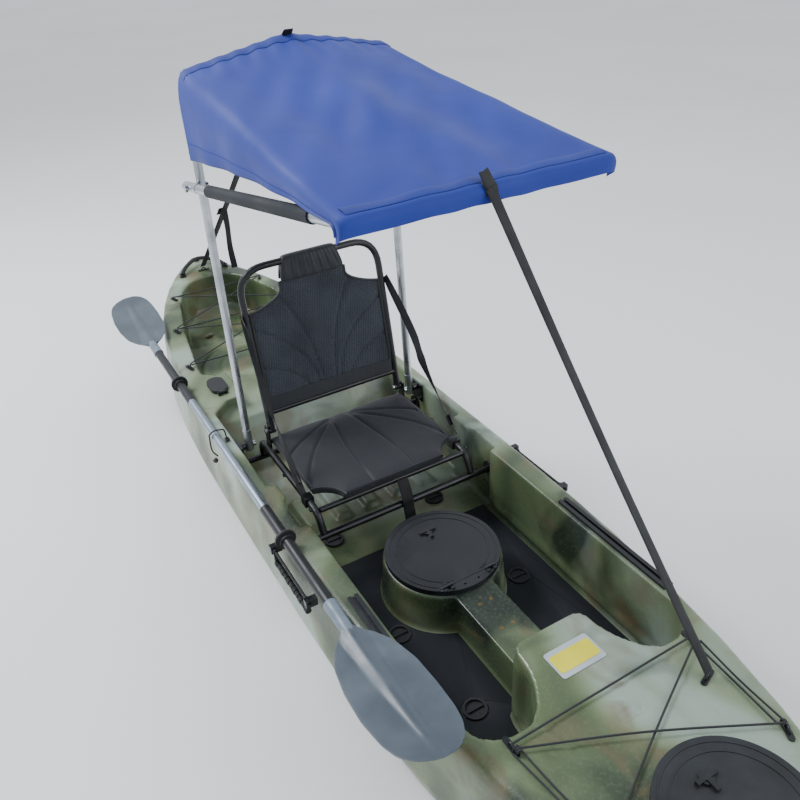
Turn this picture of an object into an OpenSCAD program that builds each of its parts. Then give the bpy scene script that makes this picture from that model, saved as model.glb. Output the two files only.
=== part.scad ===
// Sit-on-top paddling boat with a framed seat, a sun canopy and a two-part paddle.
// Millimetres. +Z is up, the bow points along -Y, port is +X.
// The origin lies on the bottom of the keel, directly below the centre hatch.

/* [Hull] */
// Distance from the centre hatch to the bow tip
bow_len = 1500; // [1420:10:1800]
// Distance from the centre hatch to the stern end
stern_len = 2250; // [2220:10:2600]
// Widest beam, at the chine
beam = 830; // [800:5:980]
// Height of the gunwale above the keel amidships
side_h = 360; // [320:5:430]
// Thickness of the moulded wall
wall = 4.5; // [4:0.5:8]
// Height of the cockpit floor above the keel
floor_z = 120; // [90:5:140]
// Height of the tankwell floor above the keel
tank_z = 215; // [180:5:250]
// Rise of the gunwale at the bow tip
bow_rise = 90; // [40:5:140]
// Rise of the gunwale at the stern end
stern_rise = 60; // [20:5:90]

/* [Cockpit] */
// Half the cockpit width beside the feet
foot_hw = 312; // [290:2:320]
// Half the cockpit width beside the seat
seat_hw = 348; // [335:1:352]
// Half the cockpit width in the rim notches
notch_hw = 336; // [325:1:345]
// Front end of the footwells
foot_front_y = -635; // [-700:5:-600]
// Radius of the round pod below the centre hatch
pod_r = 172; // [160:1:185]
// Height of the pod's top
pod_z = 250; // [230:5:280]
// Width of the neck between pod and front deck
neck_w = 124; // [100:2:150]
// Thickness of the foam floor mats
mat_t = 5; // [3:1:8]

/* [Scuppers and hatches] */
// Radius of a scupper tube
scupper_r = 18; // [12:1:24]
// Outer radius of the centre hatch
hatch_r = 166; // [150:1:170]
// Outer radius of the front hatch
front_hatch_r = 156; // [120:1:162]
// Place of the front hatch along the boat
front_hatch_y = -998; // [-1020:2:-980]
// Radius of the hatch hinge pins
hatch_pin_r = 2.5; // [2:0.25:4]

/* [Seat] */
// Radius of the seat tubes
seat_tube_r = 11; // [8:0.5:14]
// Half the spacing of the seat's side rails
rail_x = 262; // [240:1:270]
// Height of the seat's side rails
rail_z = 335; // [310:5:360]
// Front end of the seat rails
seat_front_y = 237; // [200:5:260]
// Place of the backrest pivots along the boat
seat_pivot_y = 655; // [600:5:670]
// Height of the backrest above its pivots
back_h = 529; // [420:5:600]
// Backward lean of the backrest
back_lean = 10; // [0:1:20]
// Thickness of the seat pad
pad_t = 30; // [20:1:40]

/* [Canopy] */
// Radius of the canopy tubes
bow_tube_r = 12.5; // [9:0.5:15]
// Height of the main bow's corners
canopy_h = 1471; // [1300:10:1650]
// Extra height of the main bow's middle
canopy_peak = 57; // [20:1:90]
// Height of the front bow's pivots on the legs
arm_z = 1204; // [1100:5:1250]
// Place of the front bow's cross bar
front_bar_y = -203; // [-300:5:-100]
// Height of the front bow's cross bar
front_bar_z = 1350; // [1280:5:1450]
// Radius of every canopy pivot pin
pivot_r = 4; // [3:0.5:6]
// Width of the canopy straps
strap_w = 30; // [20:1:40]

/* [Paddle] */
// Half the paddle's length
paddle_half = 1285; // [1150:5:1350]
// Radius of the paddle shaft
shaft_r = 14; // [12:0.5:16]
// Radius of a drip ring
drip_r = 30; // [24:1:34]
// Width of a blade
blade_w = 186; // [150:2:200]
// Place of the paddle's middle along the boat
paddle_y = 645; // [600:5:700]

/* [Hidden] */
$fn = 48;

// Clearance between parts that move past each other, and in running bores
gap = 0.4;
run = 0.05;

// Lines of the hull, from bow (-1) to stern (+1)
mid_y = (stern_len - bow_len) / 2;
half_len = (stern_len + bow_len) / 2;
bow_fine = 3.2;
stern_fine = 4;
stern_round = 0.75;
bow_rocker = 150;
stern_rocker = 80;
keel_flat = 0.3;
deck_crown = 14;
hull_rings = 26;
// Outline of half a midship section, as shares of half the beam and of the side height
half_section = [
    [0, 0], [0.14, 0], [0.2, 0.05], [0.44, 0.055], [0.5, 0], [0.6, 0], [0.78, 0.04], [0.92, 0.15],
    [0.98, 0.26], [1, 0.37], [0.985, 0.56], [0.965, 0.78], [0.955, 0.93], [0.935, 0.985], [0.9, 1]
];
deck_shares = [0.72, 0.48, 0.24];

// Cockpit and tankwell
seat_end_y = 970;
seat_floor_end_y = 745;
ridge_z = 328;
ridge_hw = 222;
tank_front_y = 1165;
tank_end_y = 2030;
notch_front_y = 205;
notch_end_y = 350;
tab_end_y = 430;
tongue_tip_y = -452;
tongue_hw = 106;
neck_z = pod_z - 5;
neck_end_y = -470;
well_top = side_h + 300;

// Scuppers, as places on the port side
foot_scuppers = [[205, -95], [165, -400]];
seat_scuppers = [[190, 352]];
tank_scuppers = [[150, 1300], [110, 1800]];
plug_head_r = scupper_r + 14;
plug_head_t = 9;

// Hatches
hatch_base_t = 8;
hatch_lid_t = 8;
hatch_chord = 0.8;
hatch_opening = 46;
knuckle_r = hatch_pin_r + 3;
knuckle_w = 11;
hinge_z = hatch_base_t + hatch_lid_t + knuckle_r + gap;
weld_gap = 1.5;
contact = 0.05;
latch_share = 0.5;
latch_r = 6;
centre_hatch_z = pod_z;
front_hatch_z = sheer_z(front_hatch_y) + 12;
centre_well_bottom = 60;
front_well_bottom = 255;

// Seat
seat_rail_top = rail_z + seat_tube_r;
pad_z = seat_rail_top + 1;
seat_pivot_z = pad_z + pad_t + seat_tube_r + 11;
seat_rear_y = 720;
low_bar_z = 263;
back_x = 238;
ear_in_x = back_x + seat_tube_r + 2;
ear_t = 5;
seat_pin_r = 4;
pad_hw = rail_x - seat_tube_r - 6;

// Canopy
leg_base = [310, 699, 342];
leg_top = [295, 713, canopy_h];
end_r = bow_tube_r + 1.2;
corner_r = 70;
function on_leg(z) = leg_base + (leg_top - leg_base) * (z - leg_base[2]) / (leg_top[2] - leg_base[2]);
arm_pivot = on_leg(arm_z);
arm_x = arm_pivot[0] + bow_tube_r + end_r + gap;
front_corner = [298, front_bar_y, front_bar_z];
cloth_t = 2;
cloth_lift = bow_tube_r + 1;
flap_z = 1262;

// Paddle
paddle_x = -405;
paddle_z = side_h + drip_r + 2;
silver_half = 345;
sleeve_half = 770;
socket_half = 868;
ring_half = 495;
blade_t = 5;
shaft_wall = 1.6;

// Fittings on the neck and the gunwales
insert_x = 18;
insert_y = [-309, -213];
insert_r = 4.5;
insert_t = 12;
insert_bore_r = 2.5;
recess_t = 2;
track_x = 338;
track_w = 30;
track_t = 9;
track_y = 112;
track_len = 400;
track_z = side_h + 2;

// Points that are shared by straps, eyes and cords
front_strap_foot = [200, -752];
rear_strap_foot = [0, 2092];
front_eye = [255, -657];
bungee_eye = [232, -925];
tank_eyes = [[328, 1281], [282, 1606], [205, 1900]];
handle_y = [-20, 220];
handle_x = 424;
handle_lug_x = beam / 2 - 14;
handle_z = 312;
stern_foot = [104, 2088];
bow_foot = [62, -1335];
drain_y = 2200;
rod_place = [285, 1078];
rod_bore_r = 21;
rod_lean = 28;
rod_flange_t = 6;
rod_hinge_y = -60;
rod_hinge_z = 9;
keeper_y = 735;

// ---------- general shapes ----------
function along(y) = (y - mid_y) / half_len;
function bow_beam(t) = 1 - pow(-t, bow_fine);
function stern_beam(t) = pow(1 - pow(t, stern_fine), stern_round);
function half_beam(y) = beam / 2 * (along(y) < 0 ? bow_beam(along(y)) : stern_beam(along(y)));
function sheer_z(y) = side_h + (along(y) < 0 ? bow_rise : stern_rise) * pow(abs(along(y)), 5);
function keel_z(y) = (along(y) < 0 ? bow_rocker : stern_rocker)
    * pow(max(abs(along(y)) - keel_flat, 0) / (1 - keel_flat), 3);
function deck_z(x, y) = sheer_z(y) + deck_crown * (1 - pow(x / max(half_beam(y), 1), 2));
function unit(v) = v / norm(v);
function flip_x(v) = [-v[0], v[1], v[2]];
function rev(list) = [for (i = [len(list) - 1:-1:0]) list[i]];

// Half a hull section at y, with the wall taken off by g
function half_ring(y, g) = let (b = max(half_beam(y) - g, 3), k = keel_z(y) + g, s = sheer_z(y) - g)
    concat(
        [for (q = half_section) [q[0] * b, y, k + q[1] * (s - k)]],
        [for (q = deck_shares) [q * b, y, s + deck_crown * (1 - q * q)]],
        [[0, y, s + deck_crown]]
    );
function hull_ring(y, g) = let (h = half_ring(y, g), n = len(h))
    concat(h, [for (i = [n - 2:-1:1]) flip_x(h[i])]);

// Closed skin over a list of rings with equal counts. Its ends are flat, or are drawn to
// a pair of tips, or are closed by a strip between the two halves of the ring.
module skin_rings(rings, tips = [], strip = false) {
    n = len(rings[0]);
    last = (len(rings) - 1) * n;
    tip = last + n;
    pts = concat([for (r = rings) for (p = r) p], tips);
    sides = [for (i = [0:len(rings) - 2]) for (j = [0:n - 1]) for (t = [0, 1])
        let (a = i * n + j, b = i * n + (j + 1) % n, c = a + n, d = b + n)
        t == 0 ? [a, d, b] : [a, c, d]];
    fans = [for (j = [0:n - 1]) for (t = [0, 1]) let (k = (j + 1) % n)
        t == 0 ? [j, k, tip] : [last + k, last + j, tip + 1]];
    strips = [for (i = [0:n / 2 - 2]) for (t = [0:3]) let (a = i, b = i + 1, c = n - 2 - i, d = n - 1 - i)
        t == 0 ? [a, b, c] : t == 1 ? [a, c, d]
        : t == 2 ? [last + c, last + b, last + a] : [last + d, last + c, last + a]];
    flats = [[for (j = [0:n - 1]) j], [for (j = [n - 1:-1:0]) last + j]];
    caps = len(tips) > 0 ? fans : strip ? strips : flats;
    polyhedron(points = pts, faces = concat(caps, sides), convexity = 10);
}

module hull_loft(g) {
    reach = half_len - 7 - g * 1.5;
    rings = [for (i = [0:hull_rings]) hull_ring(mid_y + reach * cos(180 * i / hull_rings), g)];
    tips = [for (s = [1, -1]) let (y = mid_y + s * reach)
        [0, y + s * 7, (keel_z(y) + sheer_z(y)) / 2 + 20]];
    skin_rings(rings, tips);
}

// A path with its corners rounded by curves that start d before each corner
function rounded(path, d, steps = 6) = concat(
    [path[0]],
    [for (i = [1:len(path) - 2]) let (
        v = path[i],
        a = v + unit(path[i - 1] - v) * min(d, norm(path[i - 1] - v) * 0.48),
        b = v + unit(path[i + 1] - v) * min(d, norm(path[i + 1] - v) * 0.48))
        for (k = [0:steps]) let (t = k / steps)
            a * (1 - t) * (1 - t) + v * 2 * t * (1 - t) + b * t * t],
    [path[len(path) - 1]]
);
function heading(path, i) = unit(
    path[min(i + 1, len(path) - 1)] - path[max(i - 1, 0)]
);

// Round tube along a path; side is a direction that the path never follows
module sweep(path, r, side = [1, 0, 0], sides = 12) {
    rings = [for (i = [0:len(path) - 1]) let (
        t = heading(path, i),
        u = unit(cross(t, side)),
        v = cross(t, u))
        [for (k = [0:sides - 1]) path[i] + r * (cos(360 * k / sides) * u + sin(360 * k / sides) * v)]];
    skin_rings(rings);
}

// Flat webbing along a path, with its width along a given direction
module ribbon(path, across, w, t) {
    rings = [for (i = [0:len(path) - 1]) let (
        h = heading(path, i),
        u = unit(across - h * (across * h)),
        v = cross(h, u))
        [path[i] + u * w / 2 + v * t / 2, path[i] - u * w / 2 + v * t / 2,
         path[i] - u * w / 2 - v * t / 2, path[i] + u * w / 2 - v * t / 2]];
    skin_rings(rings);
}

// Straight round bar from a to b
module rod(a, b, r) {
    d = b - a;
    l = norm(d);
    translate(a)
        rotate([0, acos(d[2] / l), atan2(d[1], d[0])])
            cylinder(h = l, r = r);
}

module both_sides() {
    children();
    mirror([1, 0, 0])
        children();
}

module x_pin(x0, x1, y, z, r) {
    translate([x0, y, z])
        rotate([0, 90, 0])
            cylinder(h = x1 - x0, r = r);
}

// ---------- hull ----------
module cockpit_half_plan(g) {
    front = foot_front_y - g;
    polygon([
        [-1, seat_end_y + g], [seat_hw - 60, seat_end_y + g], [seat_hw + g, seat_end_y - 50],
        [seat_hw + g, g > 0 ? notch_front_y - g : tab_end_y],
        [g > 0 ? seat_hw + g : foot_hw + 8, g > 0 ? notch_front_y - g : tab_end_y],
        [g > 0 ? seat_hw + g : foot_hw + 8, g > 0 ? notch_front_y - g : notch_end_y],
        [g > 0 ? seat_hw + g : notch_hw, g > 0 ? notch_front_y - g : notch_end_y],
        [g > 0 ? foot_hw + g : notch_hw, notch_front_y - g],
        [foot_hw + g, notch_front_y - g], [foot_hw + g, front + 95], [foot_hw + g - 12, front + 45],
        [foot_hw + g - 40, front + 12], [foot_hw + g - 75, front], [-1, front]
    ]);
}

module cockpit_profile(g) {
    polygon([
        [foot_front_y - g, floor_z - g], [seat_floor_end_y, floor_z - g],
        [seat_floor_end_y + 60, floor_z + 24 - g], [915, ridge_z - 20 - g], [seat_end_y + g, ridge_z - g],
        [seat_end_y + g, well_top], [foot_front_y - g, well_top]
    ]);
}

// Raised middle of the front deck between the footwells, seen from above
module tongue_half_plan(g) {
    polygon([
        [-1, tongue_tip_y - g], [tongue_hw - 30 - g, tongue_tip_y - g],
        [tongue_hw - 8 - g, tongue_tip_y - 10], [tongue_hw - g, tongue_tip_y - 35],
        [tongue_hw + 4 - g, tongue_tip_y - 78], [tongue_hw + 20 - g, tongue_tip_y - 118],
        [tongue_hw + 46 - g, tongue_tip_y - 158], [tongue_hw + 84 - g, tongue_tip_y - 188],
        [tongue_hw + 130 - g, foot_front_y + 1], [tongue_hw + 130 - g, foot_front_y - 40],
        [-1, foot_front_y - 40]
    ]);
}

module extrude_up(z0, z1) {
    translate([0, 0, z0])
        linear_extrude(height = z1 - z0)
            children();
}

// Turns a profile drawn as (y, z) into a bar across the boat
module extrude_across(hw) {
    translate([-hw, 0, 0])
        rotate([90, 0, 90])
            linear_extrude(height = 2 * hw)
                children();
}

module cockpit_block(g) {
    intersection() {
        extrude_up(floor_z - g, well_top) {
            cockpit_half_plan(g);
            mirror([1, 0])
                cockpit_half_plan(g);
        }
        extrude_across(seat_hw + 50)
            cockpit_profile(g);
    }
}

module pod(g) {
    translate([0, 0, floor_z - 40])
        cylinder(h = pod_z - g - floor_z + 40, r1 = pod_r + 14 - g, r2 = pod_r - g, $fn = 72);
    extrude_up(floor_z - 40, neck_z - g)
        translate([-neck_w / 2 + g, neck_end_y - 30])
            square([neck_w - 2 * g, -neck_end_y]);
    extrude_up(floor_z - 40, well_top + 10) {
        tongue_half_plan(g);
        mirror([1, 0])
            tongue_half_plan(g);
    }
}

module tank_half_plan(g) {
    polygon([
        [-1, tank_front_y - g], [ridge_hw + 40 + g, tank_front_y - g], [302 + g, tank_front_y + 50],
        [298 + g, 1300], [252 + g, 1590], [196 + g, 1830], [150 + g, 1950], [96 + g, tank_end_y - 20 + g],
        [50, tank_end_y + g], [-1, tank_end_y + g]
    ]);
}

module tank_profile(g) {
    polygon([
        [tank_front_y - g, ridge_z - g], [tank_front_y + 60, tank_z + 12 - g], [tank_front_y + 90, tank_z - g],
        [tank_end_y - 70, tank_z - g], [tank_end_y - 20, tank_z + 30 - g], [tank_end_y + g, ridge_z - g],
        [tank_end_y + g, well_top], [tank_front_y - g, well_top]
    ]);
}

module tank_block(g) {
    intersection() {
        extrude_up(tank_z - g, well_top) {
            tank_half_plan(g);
            mirror([1, 0])
                tank_half_plan(g);
        }
        extrude_across(400)
            tank_profile(g);
    }
    translate([-ridge_hw - g, seat_end_y - 60, ridge_z - g])
        cube([2 * (ridge_hw + g), tank_front_y - seat_end_y + 120, well_top - ridge_z]);
}

module at_scuppers() {
    for (p = concat(foot_scuppers, seat_scuppers, tank_scuppers))
        for (s = [-1, 1])
            translate([s * p[0], p[1], 0])
                children();
}

module rod_tube(g) {
    both_sides()
        translate([rod_place[0], rod_place[1], deck_z(rod_place[0], rod_place[1])])
            rotate([-rod_lean, 0, 0])
                translate([0, 0, -190 - g])
                    cylinder(h = 260, r = rod_bore_r + 4 + g);
}

module storage_wells(g) {
    translate([0, 0, centre_well_bottom - g])
        cylinder(h = pod_z, r = hatch_r - hatch_opening + 1 + g, $fn = 72);
    translate([0, front_hatch_y, front_well_bottom - g])
        cylinder(h = 300, r = front_hatch_r - hatch_opening + 1 + g, $fn = 72);
}

// Closed air space between the moulded walls
module hull_void() {
    difference() {
        hull_loft(wall);
        difference() {
            cockpit_block(wall);
            pod(wall);
        }
        tank_block(wall);
        storage_wells(wall);
        rod_tube(wall);
        at_scuppers()
            translate([0, 0, -1])
                cylinder(h = side_h, r = scupper_r + wall, $fn = 32);
        hand_recess(wall);
        insert_holes(insert_r + 4, insert_t + 10);
        translate([0, front_hatch_y, front_hatch_z - wall])
            cylinder(h = 60, r = front_hatch_r + 1.5 + wall, $fn = 72);
    }
}

// Recess for the fingers in the front deck
module hand_recess(g) {
    translate([-38 - g, -745 - g, deck_z(0, -730) - 9 - g])
        cube([76 + 2 * g, 27 + 2 * g, 60]);
}

// Holes or bosses of the accessory inserts on the neck
module insert_holes(r, depth) {
    for (x = [-insert_x, insert_x])
        for (y = insert_y)
            translate([x, y, neck_z - depth])
                cylinder(h = depth + 1, r = r, $fn = 24);
}

module track_pocket() {
    both_sides()
        translate([track_x - track_w / 2 - 0.3, -track_y - track_len - 0.3, track_z])
            cube([track_w + 0.6, track_len + 0.6, 40]);
}

// Shallow seats that the fittings are bedded in
module fitting_seats() {
    both_sides() {
        pad_eye_foot(front_eye, 90, 30);
        pad_eye_foot(bungee_eye, 60, 30);
        for (p = tank_eyes)
            pad_eye_foot(p, 75, 30);
        at_rod_holder()
            linear_extrude(height = 40)
                rod_flange();
        for (y = handle_y)
            translate([handle_lug_x, y - 9, handle_z - 12])
                cube([60, 18, 24]);
        handle_foot(stern_foot, 40);
        handle_foot(bow_foot, 40);
    }
    pad_eye_foot(front_strap_foot, 20, 30);
    pad_eye_foot(rear_strap_foot, 0, 30);
    translate(over_deck(0, drain_y, -3))
        cylinder(h = 40, r = 14);
    translate([-62, -593, deck_z(0, -555) - 0.5])
        cube([124, 77, 20]);
    translate([0, front_hatch_y, front_hatch_z])
        cylinder(h = 60, r = front_hatch_r + 1.5, $fn = 72);
}

module hull() {
    color([0.47, 0.52, 0.43])
        difference() {
            union() {
                hull_loft(0);
                translate([0, front_hatch_y, front_hatch_z - 40])
                    cylinder(h = 40, r = front_hatch_r + 6, $fn = 72);
            }
            difference() {
                cockpit_block(0);
                pod(0);
            }
            tank_block(0);
            storage_wells(0);
            rod_tube(0);
            at_scuppers()
                translate([0, 0, -1])
                    cylinder(h = side_h, r = scupper_r, $fn = 32);
            // recess round the accessory inserts on the neck
            translate([-38, -335, neck_z - 2])
                cube([76, 150, 10]);
            hand_recess(0);
            insert_holes(insert_r, insert_t + 3);
            track_pocket();
            fitting_seats();
            hull_void();
        }
}

module floor_mat() {
    color([0.16, 0.17, 0.2])
        translate([0, 0, floor_z])
            linear_extrude(height = mat_t)
                difference() {
                    translate([neck_w / 2 + 4, foot_front_y + 6])
                        square([foot_hw - neck_w / 2 - 8, notch_front_y + 20 - foot_front_y]);
                    translate([foot_hw - 4, foot_front_y + 6])
                        rotate(45)
                            square(106, center = true);
                    circle(r = pod_r + 15, $fn = 72);
                    tongue_half_plan(-4);
                    for (p = foot_scuppers)
                        translate(p)
                            circle(r = plug_head_r + 2);
                }
}

module floor_mat_port() {
    floor_mat();
}

module floor_mat_starboard() {
    mirror([1, 0, 0])
        floor_mat();
}

module scupper_plug(z) {
    translate([0, 0, z - 45])
        cylinder(h = 45, r = scupper_r - gap);
    translate([0, 0, z])
        difference() {
            cylinder(h = plug_head_t, r = plug_head_r);
            translate([0, 0, 3])
                cylinder(h = plug_head_t, r = plug_head_r - 7);
        }
    translate([-plug_head_r + 9, -3, z + 3])
        cube([2 * plug_head_r - 18, 6, plug_head_t - 4]);
}

module scupper_plugs() {
    color([0.07, 0.07, 0.08])
        for (s = [-1, 1])
            for (p = concat(foot_scuppers, seat_scuppers))
                translate([s * p[0], p[1], 0])
                    scupper_plug(floor_z);
}

module brass_inserts() {
    color([0.8, 0.65, 0.3])
        for (x = [-insert_x, insert_x])
            for (y = insert_y)
                translate([x, y, neck_z - recess_t - insert_t])
                    difference() {
                        cylinder(h = insert_t, r = insert_r, $fn = 24);
                        translate([0, 0, -1])
                            cylinder(h = insert_t + 2, r = insert_bore_r, $fn = 24);
                    }
}

module gear_track() {
    color([0.05, 0.05, 0.06])
        translate([track_x, -track_y, track_z])
            rotate([90, 0, 0])
                linear_extrude(height = track_len)
                    polygon([
                        [-track_w / 2, 0], [track_w / 2, 0], [track_w / 2, track_t], [4, track_t],
                        [4, track_t - 2.5], [9, track_t - 2.5], [9, 2.5], [-9, 2.5],
                        [-9, track_t - 2.5], [-4, track_t - 2.5], [-4, track_t], [-track_w / 2, track_t]
                    ]);
}

module gear_track_port() {
    gear_track();
}

module gear_track_starboard() {
    mirror([1, 0, 0])
        gear_track();
}

module pad_eye_foot(p, turn, h) {
    translate([p[0], p[1], deck_z(p[0], p[1]) - 0.8])
        rotate(turn) {
            translate([-19, -7, 0])
                cube([38, 14, h]);
            for (x = [-19, 19])
                translate([x, 0, 0])
                    cylinder(h = h, r = 7);
        }
}

// Pad eye whose loop stands across the given direction
module pad_eye(p, turn = 0) {
    pad_eye_foot(p, turn, 5);
    translate([p[0], p[1], deck_z(p[0], p[1])])
        rotate(turn) {
            translate([0, 0, 4])
                rotate([90, 0, 0])
                    rotate_extrude(angle = 180)
                        translate([9, 0])
                            circle(r = 3, $fn = 16);
        }
}

module deck_pad_eyes() {
    color([0.06, 0.06, 0.07]) {
        both_sides() {
            pad_eye(front_eye, 90);
            pad_eye(bungee_eye, 60);
        }
        pad_eye(front_strap_foot, 20);
        pad_eye(rear_strap_foot, 0);
    }
}

module tankwell_pad_eyes() {
    color([0.06, 0.06, 0.07])
        both_sides()
            for (p = tank_eyes)
                pad_eye(p, 75);
}

function over_deck(x, y, h) = [x, y, deck_z(x, y) + h];

module deck_cord() {
    y = front_eye[1];
    color([0.05, 0.05, 0.06])
        sweep([
            over_deck(4 - front_eye[0], y, 10), over_deck(-120, y - 2, 8), over_deck(0, y - 3, 8),
            over_deck(120, y - 2, 8), over_deck(front_eye[0] - 4, y, 10)
        ], 4, [0, 1, 0], 8);
}

module deck_bungee() {
    color([0.05, 0.05, 0.06]) {
        for (s = [-1, 1]) {
            sweep([
                over_deck(s * front_eye[0], front_eye[1] - 14, 12),
                over_deck(0, -790, s > 0 ? 8 : 15),
                over_deck(-s * bungee_eye[0], bungee_eye[1] + 14, 12)
            ], 2.5, [0, 0, 1], 8);
            for (d = [-9, 9])
                sweep([
                    over_deck(s * front_eye[0] + d, front_eye[1] - 26, 7),
                    over_deck(s * bungee_eye[0] + d, bungee_eye[1] + 26, 7)
                ], 2.5, [0, 0, 1], 8);
        }
    }
}

module tankwell_bungee() {
    p = tank_eyes;
    h = 13;
    color([0.05, 0.05, 0.06]) {
        for (i = [0:2])
            sweep([over_deck(-p[i][0] + 4, p[i][1], h), over_deck(p[i][0] - 4, p[i][1], h)], 2.5, [0, 0, 1], 8);
        for (i = [0, 1])
            for (s = [-1, 1])
                sweep([
                    over_deck(s * (p[i][0] - 6), p[i][1] + 8, h + 6 + s * 3),
                    over_deck(-s * (p[i + 1][0] - 6), p[i + 1][1] - 8, h + 6 + s * 3)
                ], 2.5, [0, 0, 1], 8);
    }
}

module label_plate() {
    color([0.85, 0.8, 0.3])
        translate([-62, -593, deck_z(0, -555) - 0.5])
            cube([124, 77, 1.5]);
}

// Lugs that carry one side handle
module side_handle_mounts() {
    color([0.06, 0.06, 0.07])
        both_sides()
            for (y = handle_y)
                difference() {
                    translate([handle_lug_x, y - 9, handle_z - 12])
                        cube([handle_x + 10 - handle_lug_x, 18, 24]);
                    translate([handle_x, y - 10, handle_z])
                        rotate([-90, 0, 0])
                            cylinder(h = 20, r = 4);
                }
}

module side_handle() {
    y0 = handle_y[0];
    y1 = handle_y[1];
    grip_z = handle_z - 44;
    color([0.06, 0.06, 0.07]) {
        translate([handle_x, y0 - 14, handle_z])
            rotate([-90, 0, 0])
                cylinder(h = 28 + y1 - y0, r = 4 - run);
        for (y = [y0 + 14, y1 - 14]) {
            translate([handle_x - 6, y - 4, grip_z])
                cube([12, 8, handle_z - grip_z]);
            translate([handle_x, y - 4, handle_z])
                rotate([-90, 0, 0])
                    cylinder(h = 8, r = 7);
        }
        translate([handle_x, y0 + 12, grip_z])
            rotate([-90, 0, 0])
                cylinder(h = y1 - y0 - 24, r = 7);
        for (i = [0:10])
            translate([handle_x, y0 + 12 + i * (y1 - y0 - 24 - 14) / 10, grip_z])
                rotate([-90, 0, 0])
                    cylinder(h = 14, r = i % 2 == 0 ? 9 : 8);
    }
}

module side_handle_port() {
    side_handle();
}

module side_handle_starboard() {
    mirror([1, 0, 0])
        side_handle();
}

// Curved carry handle over an end of the hull, with a screwed foot at each end
module end_handle(foot, mid) {
    path = rounded([
        over_deck(-foot[0], foot[1], 12), over_deck(-foot[0] * 0.75, (foot[1] * 2 + mid) / 3, 28),
        over_deck(0, mid, 32),
        over_deck(foot[0] * 0.75, (foot[1] * 2 + mid) / 3, 28), over_deck(foot[0], foot[1], 12)
    ], 60, 5);
    color([0.06, 0.06, 0.07]) {
        sweep(path, 9, [0, 0, 1], 12);
        both_sides()
            handle_foot(foot, 15);
    }
}

module handle_foot(foot, h) {
    translate(over_deck(foot[0], foot[1], -2))
        cylinder(h = h, r = 15);
}

module bow_handle() {
    end_handle(bow_foot, -1385);
}

module stern_handle() {
    end_handle(stern_foot, 2172);
}

module rod_holder() {
    color([0.07, 0.07, 0.08])
        at_rod_holder()
            difference() {
                union() {
                    intersection() {
                        rotate([-rod_lean, 0, 0])
                            translate([0, 0, -188])
                                cylinder(h = 220, r = rod_bore_r + 4 - gap);
                        translate([-60, -80, -240])
                            cube([120, 240, 240 + rod_flange_t]);
                    }
                    linear_extrude(height = rod_flange_t)
                        rod_flange();
                    for (x = [-14, 14])
                        x_pin(x - 4, x + 4, rod_hinge_y, rod_hinge_z, 5);
                    x_pin(-16, 16, rod_hinge_y, rod_hinge_z, 2);
                    for (x = [-14, 14])
                        translate([x - 4, rod_hinge_y - 5, 0])
                            cube([8, 12, rod_hinge_z]);
                }
                rotate([-rod_lean, 0, 0]) {
                    translate([0, 0, -180])
                        cylinder(h = 170, r = rod_bore_r);
                    translate([0, 0, -12])
                        cylinder(h = 80, r = rod_bore_r + 2.5);
                }
            }
}

module at_rod_holder() {
    translate([rod_place[0], rod_place[1], deck_z(rod_place[0], rod_place[1]) + 0.5])
        children();
}

module rod_flange() {
    for (y = [-22, 26])
        translate([0, y])
            circle(r = 31);
    translate([-31, -22])
        square([62, 48]);
}

module rod_cap() {
    color([0.05, 0.05, 0.06])
        at_rod_holder()
            difference() {
                union() {
                    translate([0, 0, rod_flange_t + gap])
                        linear_extrude(height = 5)
                            rod_flange();
                    x_pin(-9.6, 9.6, rod_hinge_y, rod_hinge_z, 5);
                    translate([-9.6, rod_hinge_y, rod_flange_t + gap])
                        cube([19.2, 14, 5]);
                }
                x_pin(-20, 20, rod_hinge_y, rod_hinge_z, 2 + run);
            }
}

module rod_holder_port() {
    rod_holder();
}

module rod_holder_starboard() {
    mirror([1, 0, 0])
        rod_holder();
}

module rod_cap_port() {
    rod_cap();
}

module rod_cap_starboard() {
    mirror([1, 0, 0])
        rod_cap();
}

module drain_plug() {
    color([0.06, 0.06, 0.07])
        translate(over_deck(0, drain_y, -3)) {
            cylinder(h = 7, r = 14);
            translate([-9, -2, 6])
                cube([18, 4, 5]);
        }
}

// ---------- hatches ----------
// Each hatch is drawn with its centre at the origin and its seat at z = 0
module below_chord(r, inset) {
    translate([-r - 5, -r - 5])
        square([2 * r + 10, r + 5 - r * hatch_chord - inset]);
}

module hatch_ring(r) {
    color([0.07, 0.07, 0.08])
        difference() {
            union() {
                cylinder(h = hatch_base_t, r = r, $fn = 72);
                translate([0, 0, -30])
                    cylinder(h = 31, r = r - hatch_opening, $fn = 72);
                intersection() {
                    cylinder(h = hatch_base_t + hatch_lid_t, r = r, $fn = 72);
                    extrude_up(0, 40)
                        below_chord(r, 0);
                }
                for (x = [-r * 0.42, r * 0.42])
                    for (d = [-knuckle_w, knuckle_w])
                        hatch_knuckle(r, x + d, -1);
            }
            translate([0, 0, -31])
                cylinder(h = 80, r = r - hatch_opening - 5, $fn = 72);
            hinge_bore(r, hatch_pin_r);
            for (x = [-22, 22])
                translate([x, -r * 0.9, -1])
                    cylinder(h = 40, r = 3.2);
        }
}

// Place of the hinge line, and one knuckle on it
function hinge_y(r) = -r * hatch_chord;

module hatch_knuckle(r, x, side) {
    x_pin(x - knuckle_w / 2 + gap / 2, x + knuckle_w / 2 - gap / 2, hinge_y(r), hinge_z, knuckle_r);
    translate([x - knuckle_w / 2 + gap / 2, hinge_y(r) + (side < 0 ? -16 : 1.2), hatch_base_t + hatch_lid_t - 1])
        cube([knuckle_w - gap, 14.8, knuckle_r]);
}

module hinge_bore(r, bore_r) {
    x_pin(-r, r, hinge_y(r), hinge_z, bore_r);
}

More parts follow.
